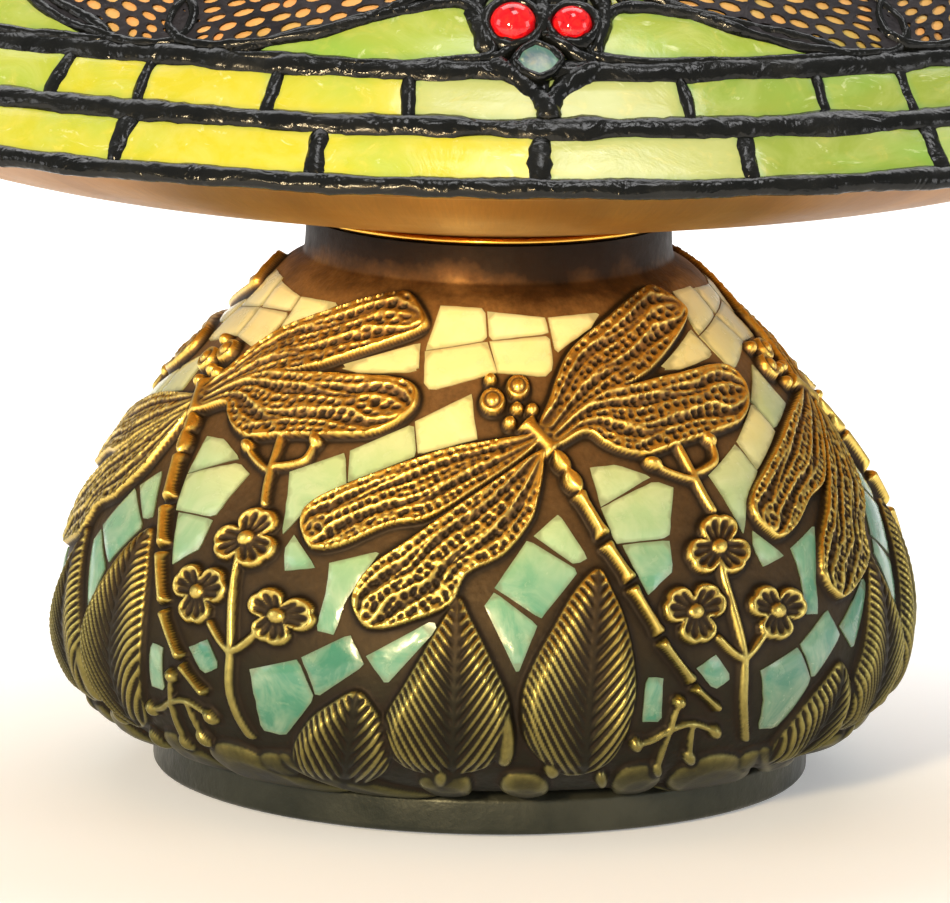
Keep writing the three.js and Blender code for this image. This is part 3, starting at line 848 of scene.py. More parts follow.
H = 0.45 * H + 0.55 * blur(H, 1)
wide = blur(H, 26)
tight = blur(H, 6)
edge = np.clip(0.24 * smoothstep(H, 0.8, 2.2) + 2.2 * (H - tight) + 0.42 * (H - wide), 0, 1) * G
cav = np.clip(1.1 * (wide - H), 0, 1) * 0.8
cav = np.clip(cav + 2.6 * np.clip(tight - H, 0, 1), 0, 0.95)
sand = rng.normal(size=(NU, NT))
sand = blur(sand, 1)
H = H + 0.06 * sand * (H < 0.3) * fade[None]
H5 = np.tile(H, (5, 1))
E5, C5 = np.tile(edge, (5, 1)), np.tile(cav, (5, 1))
azs = np.radians(U0 + 72.0 * np.arange(5 * NU) / NU)
R = r_[None] + nr_[None] * H5
Z = z_[None] + nz_[None] * H5
inner = [(body_lo[2] * 0 + 66.0, body_lo[2]), (66.0, body_lo[2] + 3.2), (85.5, 17.0), (91.0, 28.0), (92.6, 36.0), (91.8, 44.0), (87.4, 60.0), (78.3, 76.0), (65.6, 92.0), (51.3, 106.0), (38.4, 118.0), (38.4, body_hi[2])]
ni = len(inner)
Ra = np.concatenate([R, np.broadcast_to(np.array([p[0] for p in inner])[None, ::-1], (5 * NU, ni))], 1)
Za = np.concatenate([Z, np.broadcast_to(np.array([p[1] for p in inner])[None, ::-1], (5 * NU, ni))], 1)
V = np.stack([Ra * np.sin(azs)[:, None], -Ra * np.cos(azs)[:, None], Za], -1).reshape(-1, 3)
nc = NT + ni
i = np.arange(5 * NU)[:, None]
j = np.arange(nc)[None]
i2, j2 = (i + 1) % (5 * NU), (j + 1) % nc
Fq = np.stack(np.broadcast_arrays(i * nc + j, i2 * nc + j, i2 * nc + j2, i * nc + j2), -1).reshape(-1, 4)
Ea = np.concatenate([E5, np.zeros((5 * NU, ni))], 1).ravel()
Ca_ = np.concatenate([C5, np.full((5 * NU, ni), 0.6)], 1).ravel()
make("base_body_relief", V, Fq, M["relief"], "base", ["base_body"], True, {"edge": Ea, "cav": Ca_}, sharp=80)

# ---- mosaic tiles
TILES = [
    [(441, 306), (485, 309), (487, 341), (425, 351), (433, 330)], [(425, 352), (487, 342), (497, 373), (431, 391), (424, 385)], [(487, 312), (545, 318), (548, 334), (489, 341)], [(489, 342), (549, 336), (553, 369), (544, 377), (497, 373)],
    [(547, 318), (600, 313), (590, 328), (555, 354)], [(344, 365), (421, 343), (419, 370), (345, 370)], [(415, 422), (472, 394), (474, 420), (478, 439), (418, 455)], [(351, 451), (414, 424), (417, 456), (348, 483)], [(291, 472), (346, 453), (347, 484), (308, 508), (283, 535)],
    [(295, 535), (316, 568), (286, 571), (285, 550)], [(330, 563), (381, 551), (345, 602), (335, 635), (316, 630), (327, 590)], [(250, 669), (298, 659), (315, 698), (286, 735), (262, 729)], [(302, 657), (350, 634), (365, 665), (317, 697)], [(366, 656), (433, 620), (438, 628), (386, 685)],
    [(533, 536), (558, 514), (587, 558), (574, 565)], [(494, 588), (527, 540), (578, 571), (540, 619)], [(484, 606), (494, 592), (537, 625), (517, 675)], [(589, 468), (615, 465), (650, 477), (600, 507)], [(600, 508), (653, 481), (672, 488), (668, 538), (615, 544)], [(621, 545), (668, 540), (672, 571), (647, 595)],
    [(641, 721), (645, 677), (662, 677), (660, 721)], [(695, 668), (715, 654), (730, 678), (713, 690)], [(663, 370), (690, 336), (712, 357), (680, 370)],
]
tile_no = 0
for s5 in range(5):
    pile = Pile()
    for ti, poly in enumerate(TILES):
        poly = A(poly, float)
        c = poly.mean(0)
        ar = np.sum(poly[:, 0] * np.roll(poly[:, 1], -1) - poly[:, 1] * np.roll(poly[:, 0], -1))
        if ar < 0:
            poly = poly[::-1]

        def mapf(Q, off, k=s5):
            az, z = hit(Q)
            return on_body(az + 72.0 * k, z, off)

        Vp, Fp, D = plate(poly, mapf, 0.62, -0.6, 8.0, 2.0, 0.30)
        Fp = [f[::-1] for f in Fp]
        tnt = (math.sin(ti * 12.9898 + s5 * 4.1) * 43758.5453) % 1.0
        pile.add(Vp, Fp, tint=np.full(len(Vp), tnt), rimd=np.clip(D / 6.0, 0, 1))
    pile.make(f"mosaic_tiles_{s5 + 1}", M["tile"], "base", "mosaic_glass", ["mosaic_inlay"], True, 50)

# ---- foot, neck ring, dish
fz, fr = foot_lo[2], foot_hi[0]
turned("foot_ring_v", [(71.4, fz), (fr - 0.8, fz), (fr, fz + 0.9), (fr, foot_hi[2] - 2.4), (fr - 1.2, foot_hi[2] - 0.8), (fr - 2.6, foot_hi[2]), (60, foot_hi[2]), (60, foot_hi[2] - 3), (71.4, foot_hi[2] - 3)], M["foot"], "base", ["foot_ring"], 160, r=0.5)
tz, tr = trim_lo[2], trim_hi[0]
turned("neck_trim_ring_v", [(34, tz), (tr - 0.9, tz), (tr, tz + 0.6), (tr, trim_hi[2] - 0.6), (tr - 0.8, trim_hi[2]), (34, trim_hi[2])], M["gold"], "base", ["neck_trim_ring"], 160, r=0.6, n=4)
dz = dish_lo[2] - 129.5
under = catmull([(42, 129.5), (60, 132.7), (80, 136.5), (105, 141.2), (130, 146.3), (150, 152.4), (166, 159.5)], False, 5)
rimp = [(168.6, 159.6), (170.2, 160.8), (170.8, 162.6), (170.2, 164.2), (168.6, 164.9), (166.8, 164.4), (165.8, 162.8)]
over = [(r - 0.3, z + 2.0) for r, z in under[::-1][1:]]
P_d = [(7, 129.5), (41.0, 129.5)] + [tuple(p) for p in under] + rimp + over + [(41.0, 131.5), (7, 131.5)]
turned("saucer_dish_v", [(a, b + dz) for a, b in P_d], M["dish"], "base", ["saucer_dish"], 240, r=0.4, n=1)

# ------------------------------------------------------------------ shade
def cone_pts(az, s, off):
    a = np.radians(az)
    r, z = RIM_R - s * CA + off * SA, RIM_Z + s * SA + off * CA
    return np.stack([r * np.sin(a), -r * np.cos(a), z], -1)


def flat_to(az0):
    """maps (x, y) of the unrolled cone, y up from the rim at x = 0, to the shade"""
    def f(Q, off):
        x, y = Q[:, 0], L0 - Q[:, 1]
        L, b = np.hypot(x, y), np.arctan2(x, y)
        return cone_pts(az0 + np.degrees(b) / CA, L0 - L, off)
    return f


def flat_of(az, s):
    b = np.radians(az) * CA
    L = L0 - s
    return np.stack([L * np.sin(b), L0 - L * np.cos(b)], -1)


def wob(n, amp, corr, seed):
    g = np.random.default_rng(seed).normal(size=n)
    k = max(1, int(corr))
    g = np.convolve(np.r_[g[-k:], g, g[:k]], np.ones(2 * k + 1) / math.sqrt(2 * k + 1), "same")[k:-k]
    return amp * g


CS = 12
seed_n = [100]


def bead(path, mapf, w, hgt, mid=-1.4, closed=False, step=1.7, lump=0.12):
    """soldered lead line along a path of the unrolled shade: oval section, uneven like hand soldering"""
    L = resample(path, step, closed)
    n = len(L)
    if n < 3:
        return None
    seed_n[0] += 1
    if closed:
        T = np.roll(L, -1, 0) - np.roll(L, 1, 0)
    else:
        T = np.gradient(L, axis=0)
    T = T / (np.linalg.norm(T, axis=1)[:, None] + 1e-9)
    Nn = np.stack([-T[:, 1], T[:, 0]], 1)
    W = w * (1 + wob(n, lump, 1, seed_n[0]))
    Hh = hgt * (1 + wob(n, lump * 0.8, 2, seed_n[0] + 5000))
    if not closed:
        e = np.minimum(np.arange(n), np.arange(n)[::-1])
        cap = np.sqrt(np.clip((e + 0.35) / 1.6, 0, 1))
        W, Hh = W * cap, Hh * cap
    a = np.linspace(0, 2 * np.pi, CS, endpoint=False)
    Q = L[:, None, :] + Nn[:, None, :] * (W[:, None] * np.cos(a)[None])[..., None]
    off = mid + Hh[:, None] * np.sin(a)[None]
    V = mapf(Q.reshape(-1, 2), off.ravel())
    F = []
    for i in range(n if closed else n - 1):
        i2 = (i + 1) % n
        for j in range(CS):
            j2 = (j + 1) % CS
            F.append([i * CS + j, i2 * CS + j, i2 * CS + j2, i * CS + j2])
    if not closed:
        F.append(list(range(CS)))
        F.append([(n - 1) * CS + k for k in range(CS)][::-1])
    return V, F


def ring_bead(pile, s, w, hgt, mid=-1.4, wav=0.35, seed=1, n=760):
    az = np.arange(n) * 360.0 / n
    ss = s + wob(n, wav * 0.45, 5, seed)
    W = w * (1 + wob(n, 0.09, 2, seed + 1))
    Hh = hgt * (1 + wob(n, 0.09, 1, seed + 2))
    a = np.linspace(0, 2 * np.pi, CS, endpoint=False)
    V = cone_pts(np.broadcast_to(az[:, None], (n, CS)), ss[:, None] + W[:, None] * np.cos(a)[None], mid + Hh[:, None] * np.sin(a)[None]).reshape(-1, 3)
    F = [[i * CS + j, i * CS + (j + 1) % CS, ((i + 1) % n) * CS + (j + 1) % CS, ((i + 1) % n) * CS + j] for i in range(n) for j in range(CS)]
    pile.add(V, F)


S_RIM, S_LOW, S_MID, S_UP, S_BAND, S_FIELD, S_CROWN, S_TOPG, S_AP = 4.7, 14.7, 20.5, 29.9, 35.9, 195.0, 199.5, 213.5, 228.0
YEL, YG, PALE, GRN, TEAL = A([.47, .41, .018]), A([.33, .38, .035]), A([.33, .37, .125]), A([.13, .215, .045]), A([.045, .14, .07])


def border_tint(az, k, row):
    """yellow on one side of the front, pale in the middle, green on the other; mixed round the back"""
    a = ((az + 180) % 360) - 180
    h = (math.sin(k * 12.9898 + row * 78.233) * 43758.5453) % 1.0
    if abs(a) < 34:
        if a < -9:
            c = YEL * (0.75 + 0.25 * h) + YG * (0.25 - 0.25 * h)
        elif a < 10:
            c = (PALE if row or a > 3 else YEL * 0.8 + YG * 0.2)
        else:
            c = GRN * 0.6 + YG * 0.4
        return c
    pick = [YEL, YG, PALE, GRN, YG, YEL][int(h * 6) % 6]
    return pick * (0.8 + 0.3 * ((h * 7) % 1))


def az_plate(pile, az0, az1, s0, s1, tint, skew=(0, 0, 0, 0), step=2.6):
    """one cut piece of a ring course: corners pulled in under the lead"""
    am = 0.5 * (az0 + az1)
    ring = []
    for a, s in [(az0, s0)] + [(az0 + (az1 - az0) * t, s0) for t in (.25, .5, .75)] + [(az1, s0), (az1, s1)] + [(az1 + (az0 - az1) * t, s1) for t in (.25, .5, .75)] + [(az0, s1)]:
        ring.append(flat_of(a - am, s))
    Vp, Fp, D = plate(A(ring), flat_to(am), 0.0, -GLASS_T, step, 1.2, 0.5)
    pile.add(Vp, Fp, tintc=np.tile(tint, (len(Vp), 1)), rimd=np.clip((D - 0.6) / 2.2, 0, 1))


# border courses
LOW_OFF = [-26.2, -13.6, 0.0, 12.8]
UP_OFF = [-26.3, -17.4, -8.4, 0.3, 9.6, 18.9]
low, upp = Pile(), Pile()
low_az = [DF_AZ + 360.0 / DF * i + o for i in range(DF) for o in LOW_OFF]
up_az = [DF_AZ + 360.0 / DF * i + o for i in range(DF) for o in UP_OFF]
for k, a in enumerate(low_az):
    b = low_az[(k + 1) % len(low_az)] + (360 if k + 1 == len(low_az) else 0)
    az_plate(low, a, b, S_RIM - 1.6, S_LOW + 1.6, border_tint((a + b) / 2, k, 0))
for k, a in enumerate(up_az):
    b = up_az[(k + 1) % len(up_az)] + (360 if k + 1 == len(up_az) else 0)
    az_plate(upp, a, b, S_MID - 1.6, S_UP + 1.6, border_tint((a + b) / 2, k, 1))
low.make("lower_border_glass_v", M["glass"], "shade", "border_glass", ["lower_border_glass"], True, 50)
upp.make("upper_border_glass_v", M["glass"], "shade", "border_glass", ["upper_border_glass"], True, 50)

# ring leads with the uprights between the cut pieces
def upright(pile, az, s0, s1, w=2.1, h=2.6):
    ln = [flat_of(0.0, s) + A([wx, 0]) for s, wx in zip(np.linspace(s0, s1, 9), 0.35 * np.sin(np.linspace(0, 5, 9) + az))]
    r = bead(A(ln), flat_to(az), w, h)
    if r:
        pile.add(*r)


p = Pile()
ring_bead(p, 2.45, 2.3, 1.75, -0.9, 0.3, 11)
for k, a in enumerate(low_az):
    upright(p, a, 3.0, S_LOW + 2.5, 3.3 if k % 4 == 2 else 2.5, 2.0)
p.make("rim_came_v", M["lead"], "shade", "lead", ["rim_came"])
p = Pile()
ring_bead(p, 0.5 * (S_LOW + S_MID), 3.1, 2.2, -1.0, 0.5, 21)
for a in up_az:
    upright(p, a, S_MID - 2.5, S_UP + 2.5, 1.8, 1.9)
p.make("border_came_v", M["lead"], "shade", "lead", ["border_came"])
p = Pile()
ring_bead(p, 0.5 * (S_UP + S_BAND), 3.1, 2.2, -1.0, 0.5, 31)
p.make("band_came_v", M["lead"], "shade", "lead", ["band_came"])
p = Pile()
ring_bead(p, 0.5 * (S_FIELD + S_CROWN), 2.4, 2.6, -1.4, 0.3, 41)
for k in range(21):
    upright(p, DF_AZ + k * 360 / 21, S_CROWN - 1, S_TOPG + 1, 1.6, 2.3)
p.make("crown_came_v", M["lead"], "shade", "lead", ["crown_came"])
p = Pile()
for k in range(21):
    az_plate(p, DF_AZ + k * 360 / 21, DF_AZ + (k + 1) * 360 / 21, S_CROWN - 1.2, S_TOPG + 1.0, [YG, GRN, PALE][k % 3], step=3.0)
p.make("crown_glass_v", M["glass"], "shade", "border_glass", ["crown_glass"], True, 50)


# ---- one dragonfly, drawn on the unrolled cone (mm)
def wing_curve(root, ctrl, tip, W, n=41):
    t = np.linspace(0, 1, n)[:, None]
    P = (1 - t) ** 2 * A(root, float) + 2 * t * (1 - t) * A(ctrl, float) + t * t * A(tip, float)
    T = np.gradient(P, axis=0)
    T /= np.linalg.norm(T, axis=1)[:, None]
    Nn = np.stack([-T[:, 1], T[:, 0]], 1)
    tt = t[:, 0]
    hw = W * (0.16 + 0.84 * smoothstep(tt, 0, 0.62)) * np.sqrt(np.clip(1 - (np.clip(tt - 0.62, 0, 1) / 0.38) ** 2.3, 0, 1))
    return P, Nn, hw


def wing_shape(P, Nn, hw):
    up = P + Nn * hw[:, None]
    lo = P - Nn * hw[:, None]
    return np.vstack([lo, up[::-1][1:-1]])


def wing_holes(P, Nn, hw, seed):
    g = np.random.default_rng(seed)
    d = np.r_[0, np.cumsum(np.linalg.norm(np.diff(P, axis=0), axis=1))]
    out = []
    rows = [-0.76, -0.46, -0.15, 0.15, 0.46, 0.76]
    for j, q in enumerate(rows):
        l = 9.0 + 2.3 * (j % 2)
        while l < d[-1] - 3.0:
            t = np.interp(l, d, np.linspace(0, 1, len(P)))
            ln = (7.4 - 3.0 * t) * (0.62 + 0.6 * g.random())
            c = np.array([np.interp(l, d, P[:, k]) for k in (0, 1)])
            nn = np.array([np.interp(l, d, Nn[:, k]) for k in (0, 1)])
            h = np.interp(l, d, hw)
            wd = min(1.3, h * 0.122) * (0.78 + 0.32 * g.random())
            if h > 5.0 and wd > 0.45:
                o = c + nn * q * h
                tg = np.array([nn[1], -nn[0]])
                a = np.linspace(0, 2 * np.pi, 10, endpoint=False) - 0.0
                sk = 0.25 * (1 if q > 0 else -1)
                out.append(o + tg * (np.cos(a) * ln * 0.40)[:, None] + (nn + tg * sk) * (np.sin(a) * wd)[:, None])
            l += ln * 0.86 + 0.8
    return out


def mirror(P):
    Q = np.array(P, float).copy()
    Q[:, 0] *= -1
    return Q[::-1]


XC = 1.4                                                     # the body stands a little to the right of the seam
wingL = wing_curve((6, 61), (40, 57), (79, 53), 11.0)
wingU = wing_curve((5, 71), (34, 76), (68, 88), 10.0)
FIG = []                                                    # left empty and not used; the outlines that the background leads stop at are fig_polys
half = [wing_shape(*wingL), wing_shape(*wingU)]
wing_polys = []
for h in half:
    wing_polys += [h + A([XC, 0]), mirror(h) + A([XC, 0])]
body_poly = catmull([(XC - 5, 50), (XC - 7, 60), (XC - 6, 72), (XC - 3.6, 84), (XC - 2.6, 110), (XC - 1.6, 140), (XC, 150), (XC + 1.6, 140), (XC + 2.6, 110), (XC + 3.6, 84), (XC + 6, 72), (XC + 7, 60), (XC + 5, 50)], True, 4)
greenL = A([(-64.0, 42.6), (-51.0, 45.6), (-40.0, 47.6), (-30.0, 49.4), (-21.8, 50.9), (-14.0, 50.4), (-11.2, 44.5), (-9.2, 36.8), (-20.0, 35.6), (-32.0, 35.4), (-44.0, 37.6), (-52.0, 39.9)])
greenR = A([(11.5, 37.2), (12.6, 42.5), (15.5, 48.6), (20.5, 50.6), (34.9, 49.8), (47.7, 48.2), (62.0, 46.2), (64.0, 43.6), (54.0, 41.0), (43.1, 38.6), (30.0, 36.6), (21.8, 36.0)])
diamond = A([(-5.0, 34.2), (-3.4, 37.2), (-0.4, 39.2), (3.2, 37.4), (5.2, 34.6), (3.2, 31.6), (0.3, 29.8), (-3.2, 31.6)])
headL = A([(-10.5, 37.5), (-13.0, 50.0), (-8, 57), (XC, 60), (XC, 36)])
eye_c = [(-4.8, 44.8, 4.9), (7.5, 44.7, 4.3)]
tail_cuts = [60, 72, 84, 95, 107, 119, 131, 142]
BROWN, BLUE = A([.30, .16, .05]), A([.24, .34, .42])
PEACH = A([.66, .30, .11])


def bricks(rows):
    """background pieces above and between the wings: rows of uprights of uneven width, in (azimuth, slope)"""
    out = []
    for (s0, s1, n, sh) in rows:
        for k in range(n):
            out.append((-25.714 + 51.429 * (k + sh) / n, -25.714 + 51.429 * (k + 1 + sh) / n, s0, s1))
    return out


ROWS = [(S_BAND - 1.0, 58, 4, 0.5), (58, 78, 4, 0.5), (78, 98, 5, 0.0), (98, 116, 5, 0.5), (116, 134, 4, 0.0), (134, 152, 4, 0.5), (152, 170, 3, 0.0), (170, 184, 3, 0.5), (184, S_FIELD + 1.0, 2, 0.0)]


def clip_runs(L, polys, keep_out=0.6):
    """parts of a line that stay out of the figures"""
    L = resample(L, 1.2)
    ok = np.ones(len(L), bool)
    for q in polys:
        ok &= sdf(L, q) < -keep_out
    runs, cur = [], []
    for p_, o in zip(L, ok):
        if o:
            cur.append(p_)
        elif cur:
            if len(cur) > 3:
                runs.append(A(cur))
            cur = []
    if len(cur) > 3:
        runs.append(A(cur))
    return runs


fig_polys = wing_polys + [body_poly, greenL, greenR]
holesL, holesU = wing_holes(*wingL, 3), wing_holes(*wingU, 4)
cache = {}
for i in range(DF):
    az0 = DF_AZ + i * 360.0 / DF
    f = flat_to(az0)
    g = Pile()
    for b, (a0, a1, s0, s1) in enumerate(bricks(ROWS)):
        h = (math.sin(b * 12.9898 + i * 37.7) * 43758.5453) % 1.0
        c = [GRN, YG, TEAL, GRN, YEL * 0.7 + YG * 0.3][int(h * 5) % 5] * (0.75 + 0.35 * ((h * 9) % 1))
        am = 0.5 * (a0 + a1)
        ring = [flat_of(a - am, s) for a, s in [(a0, s0), ((a0 * 3 + a1) / 4, s0), (am, s0), ((a0 + a1 * 3) / 4, s0), (a1, s0), (a1, s1), ((a0 + a1 * 3) / 4, s1), (am, s1), ((a0 * 3 + a1) / 4, s1), (a0, s1)]]
        if b not in cache:
            cache[b] = fill(A(ring), 5.0)
        Q, T, D = cache[b]
        ff = flat_to(az0 + am)
        n = len(Q)
        Vp = np.concatenate([ff(Q, np.full(n, -0.5)), ff(Q, np.full(n, -GLASS_T + 0.2))])
        ed = {(t[k], t[(k + 1) % 3]) for t in T for k in range(3)}
        Fp = [list(t) for t in T] + [[t[2] + n, t[1] + n, t[0] + n] for t in T] + [[q, p0, p0 + n, q + n] for (p0, q) in ed if (q, p0) not in ed]
        g.add(Vp, Fp, tintc=np.tile(c, (2 * n, 1)), rimd=np.tile(np.clip((D - 0.6) / 2.4, 0, 1), 2))
    for poly, c, top in [(greenL, GRN * 0.5 + YG * 0.6, 0.15), (greenR, GRN * 0.55 + YG * 0.55, 0.15), (diamond, A([.055, .10, .13]), 2.0), (headL, A([.02, .02, .02]), -0.2), (mirror(headL) + A([2 * XC, 0]), A([.02, .02, .02]), -0.2)] + [(w, PEACH, 0.10) for w in wing_polys]:
        key = id(poly)
        Vp, Fp, D = plate(poly, f, top, -GLASS_T - 0.1, 3.2, 1.2, 0.4)
        g.add(Vp, Fp, tintc=np.tile(c, (len(Vp), 1)), rimd=np.clip((D - 0.4) / 2.0, 0, 1))
    for a, b in zip([52] + tail_cuts, tail_cuts + [150]):
        m = body_poly[(body_poly[:, 1] >= a - 0.01) & (body_poly[:, 1] <= b + 0.01)]
        def wid(y):
            return np.interp(y, [50, 60, 72, 84, 110, 140, 150], [5, 7, 6, 3.6, 2.6, 1.6, 0.5])
        q = A([(XC - wid(a), a), (XC - wid((a + b) / 2), (a + b) / 2), (XC - wid(b), b), (XC + wid(b), b), (XC + wid((a + b) / 2), (a + b) / 2), (XC + wid(a), a)])[::-1]
        Vp, Fp, D = plate(q, f, 1.2, -GLASS_T - 0.1, 2.2, 2.0, 0.8)
        col = BROWN if a < 70 else (TEAL if int(a) % 2 else GRN) * 0.8
        g.add(Vp, Fp, tintc=np.tile(col, (len(Vp), 1)), rimd=np.clip(D / 2.0, 0, 1))
    g.make(f"dragonfly_panel_{i + 1}_v", M["field"], "shade", "field_glass", [f"dragonfly_panel_{i + 1}"], True, 50)

    # lead lines of this panel
    p = Pile()
    lines = []
    for (s0, s1, n, sh) in ROWS[1:]:
        lines.append([flat_of(a, s0) for a in np.linspace(-25.714, 25.714, 40)])
    for (s0, s1, n, sh) in ROWS:
        for k in range(n):
            a = -25.714 + 51.429 * (k + sh) / n
            lines.append([flat_of(a, s) for s in np.linspace(s0, s1, 8)])
    for L in lines:
        for run in clip_runs(A(L), fig_polys):
            r = bead(run, f, 1.7, 2.4, step=2.0)
            if r:
                p.add(*r)
    for w in wing_polys:
        p.add(*bead(w, f, 1.5, 2.7, -1.2, True, 1.7))
    for w in (greenL, greenR):
        p.add(*bead(catmull(w, True, 3), f, 1.6, 2.6, -1.3, True, 1.6))
    p.add(*bead(body_poly, f, 1.2, 2.7, -1.1, True, 1.7))
    for y in tail_cuts:
        ww = np.interp(y, [50, 60, 72, 84, 110, 140, 150], [5, 7, 6, 3.6, 2.6, 1.6, 0.5])
        r = bead(A([(XC - ww, y), (XC, y + 0.4), (XC + ww, y)]), f, 0.9, 2.9, -1.0, False, 1.0)
        if r:
            p.add(*r)
    # mask: V under the jewels and the arms round the diamond
    for L, w, hh in [([(2.0, 19.0), (1.6, 24.0), (-2.0, 29.0), (-6.5, 32.8), (-10.5, 35.5)], 2.6, 2.9), ([(2.0, 19.0), (2.4, 24.0), (5.5, 29.0), (9.5, 32.2), (13.5, 34.5)], 2.6, 2.9),
                     ([(-11.0, 35.5), (-7.6, 36.6), (-4.6, 39.4), (-1.0, 41.8)], 1.9, 2.8), ([(13.0, 35.5), (8.8, 36.6), (5.4, 39.0), (1.0, 41.8)], 1.9, 2.8),
                     ([(0.6, 41.0), (1.4, 46.0), (1.4, 52.0), (1.4, 58.0)], 2.2, 2.9), ([(-9.5, 37.0), (-11.6, 44.0), (-12.4, 51.0), (-9.0, 57.0)], 2.4, 2.9), ([(12.0, 37.0), (13.8, 44.0), (14.2, 51.0), (11.0, 57.0)], 2.4, 2.9),
                     ([(-8.0, 53.0), (-2.0, 52.6), (4.0, 52.4), (11.0, 52.6)], 3.2, 2.8), ([(-8.5, 57.5), (0.0, 57.0), (11.0, 57.5)], 3.2, 2.6), ([(-9.0, 39.0), (-5.0, 40.9), (0.5, 42.2), (6.0, 40.9), (11.0, 39.0)], 1.6, 2.6)]:
        p.add(*bead(catmull(L, False, 4), f, w, hh, -1.1, False, 1.2, 0.16))
    p.add(*bead(diamond, f, 0.95, 1.5, 0.9, True, 1.0))
    for cx, cy, r0 in eye_c:
        a = np.linspace(0, 2 * np.pi, 24, endpoint=False)
        p.add(*bead(np.stack([cx + (r0 + 0.9) * np.cos(a), cy + (r0 + 0.9) * np.sin(a)], 1), f, 1.5, 2.9, -0.6, True, 1.2))
    p.make(f"field_lead_{i + 1}", M["lead"], "shade", "lead")

    # domed jewels
    p = Pile()
    for cx, cy, r0 in eye_c:
        nr, ns = 9, 30
        V = [f(A([[cx, cy]]), A([r0 * 0.95 + 0.2]))[0]]
        F = []
        for k in range(1, nr + 1):
            ph = (math.pi / 2) * k / nr
            a = np.linspace(0, 2 * np.pi, ns, endpoint=False)
            Q = np.stack([cx + r0 * math.sin(ph) * np.cos(a), cy + r0 * math.sin(ph) * np.sin(a)], 1)
            V.extend(f(Q, np.full(ns, 0.2 + r0 * 0.95 * math.cos(ph))))
        V.append(f(A([[cx, cy]]), A([0.1]))[0])
        for j in range(ns):
            F.append([0, 1 + j, 1 + (j + 1) % ns])
            for k in range(nr - 1):
                b0, b1 = 1 + k * ns, 1 + (k + 1) * ns
                F.append([b0 + j, b1 + j, b1 + (j + 1) % ns, b0 + (j + 1) % ns])
            F.append([1 + (nr - 1) * ns + j, len(V) - 1, 1 + (nr - 1) * ns + (j + 1) % ns])
        p.add(A(V), F)
    p.make(f"dragonfly_eyes_{i + 1}_v", M["jewel"], "shade", "jewel_glass", [f"dragonfly_eyes_{i + 1}"])

    # filigree wings, pierced
    p = Pile()
    for h, hol in ((half[0], holesL), (half[1], holesU)):
        for sgn in (1, -1):
            poly = h + A([XC, 0]) if sgn > 0 else mirror(h) + A([XC, 0])
            hs = [q + A([XC, 0]) if sgn > 0 else mirror(q) + A([XC, 0]) for q in hol]
            key = (id(hol), sgn)
            if key not in cache:
                cache[key] = fill(poly, 2.6, hs)
            Q, T, D = cache[key]
            n = len(Q)
            V = np.concatenate([f(Q, np.full(n, 0.75)), f(Q, np.full(n, 0.2))])
            ed = {(t[k], t[(k + 1) % 3]) for t in T for k in range(3)}
            F = [list(t) for t in T] + [[t[2] + n, t[1] + n, t[0] + n] for t in T] + [[q, p0, p0 + n, q + n] for (p0, q) in ed if (q, p0) not in ed]
            p.add(V, F)
    p.make(f"wing_filigree_{i + 1}_v", M["fil"], "shade", "filigree", [f"wing_filigree_{i + 1}"], True, 30)

# ------------------------------------------------------------------ crown ring, cap, finial
def cone_prof(s0, s1, t, proud):
    at = lambda s, o: (RIM_R - s * CA + o * SA, RIM_Z + s * SA + o * CA)
    return [at(s0, proud - t), at(s0, proud), at((s0 + s1) / 2, proud + 0.4), at(s1, proud), at(s1, proud - t)]


turned("aperture_ring_v", cone_prof(S_TOPG + 0.15, S_AP, 4.2, 0.6), M["bronze"], "shade", ["aperture_ring"], 128, r=0.8)
cz = cap_lo[2] - 321.6
turned("vase_cap_v", [(5.3, 343 + cz), (8, 336 + cz), (16, 332 + cz), (28, 327 + cz), (36.5, 321.7 + cz), (39.6, 321.6 + cz), (40, 322.8 + cz), (38.8, 324 + cz), (36, 324.6 + cz), (34.5, 327 + cz), (28, 330.6 + cz), (18, 335 + cz), (13.4, 338.6 + cz), (12.4, 340 + cz), (13.2, 341.4 + cz), (11.2, 343 + cz), (10, 346 + cz), (5.3, 346 + cz)], M["bronze"], "shade", ["vase_cap"], 128, r=0.9, n=4)
fz0 = fin_lo[2] - 346.3
turned("finial_v", [(0, 359 + fz0), (5.05, 359 + fz0), (5.05, 346.3 + fz0), (8.6, 346.3 + fz0), (9.4, 347.4 + fz0), (9.4, 348.8 + fz0), (7.4, 350.6 + fz0), (6.8, 352.4 + fz0), (7.8, 354 + fz0), (10.2, 357 + fz0), (11.2, 361 + fz0), (10.6, 364.4 + fz0), (8.2, 368 + fz0), (5.2, 370.6 + fz0), (4.0, 372.2 + fz0), (4.2, 374.2 + fz0), (3.0, 376.6 + fz0), (0, 378 + fz0)], M["bronze"], "finial_body", ["finial"], 96, r=1.2, n=4)

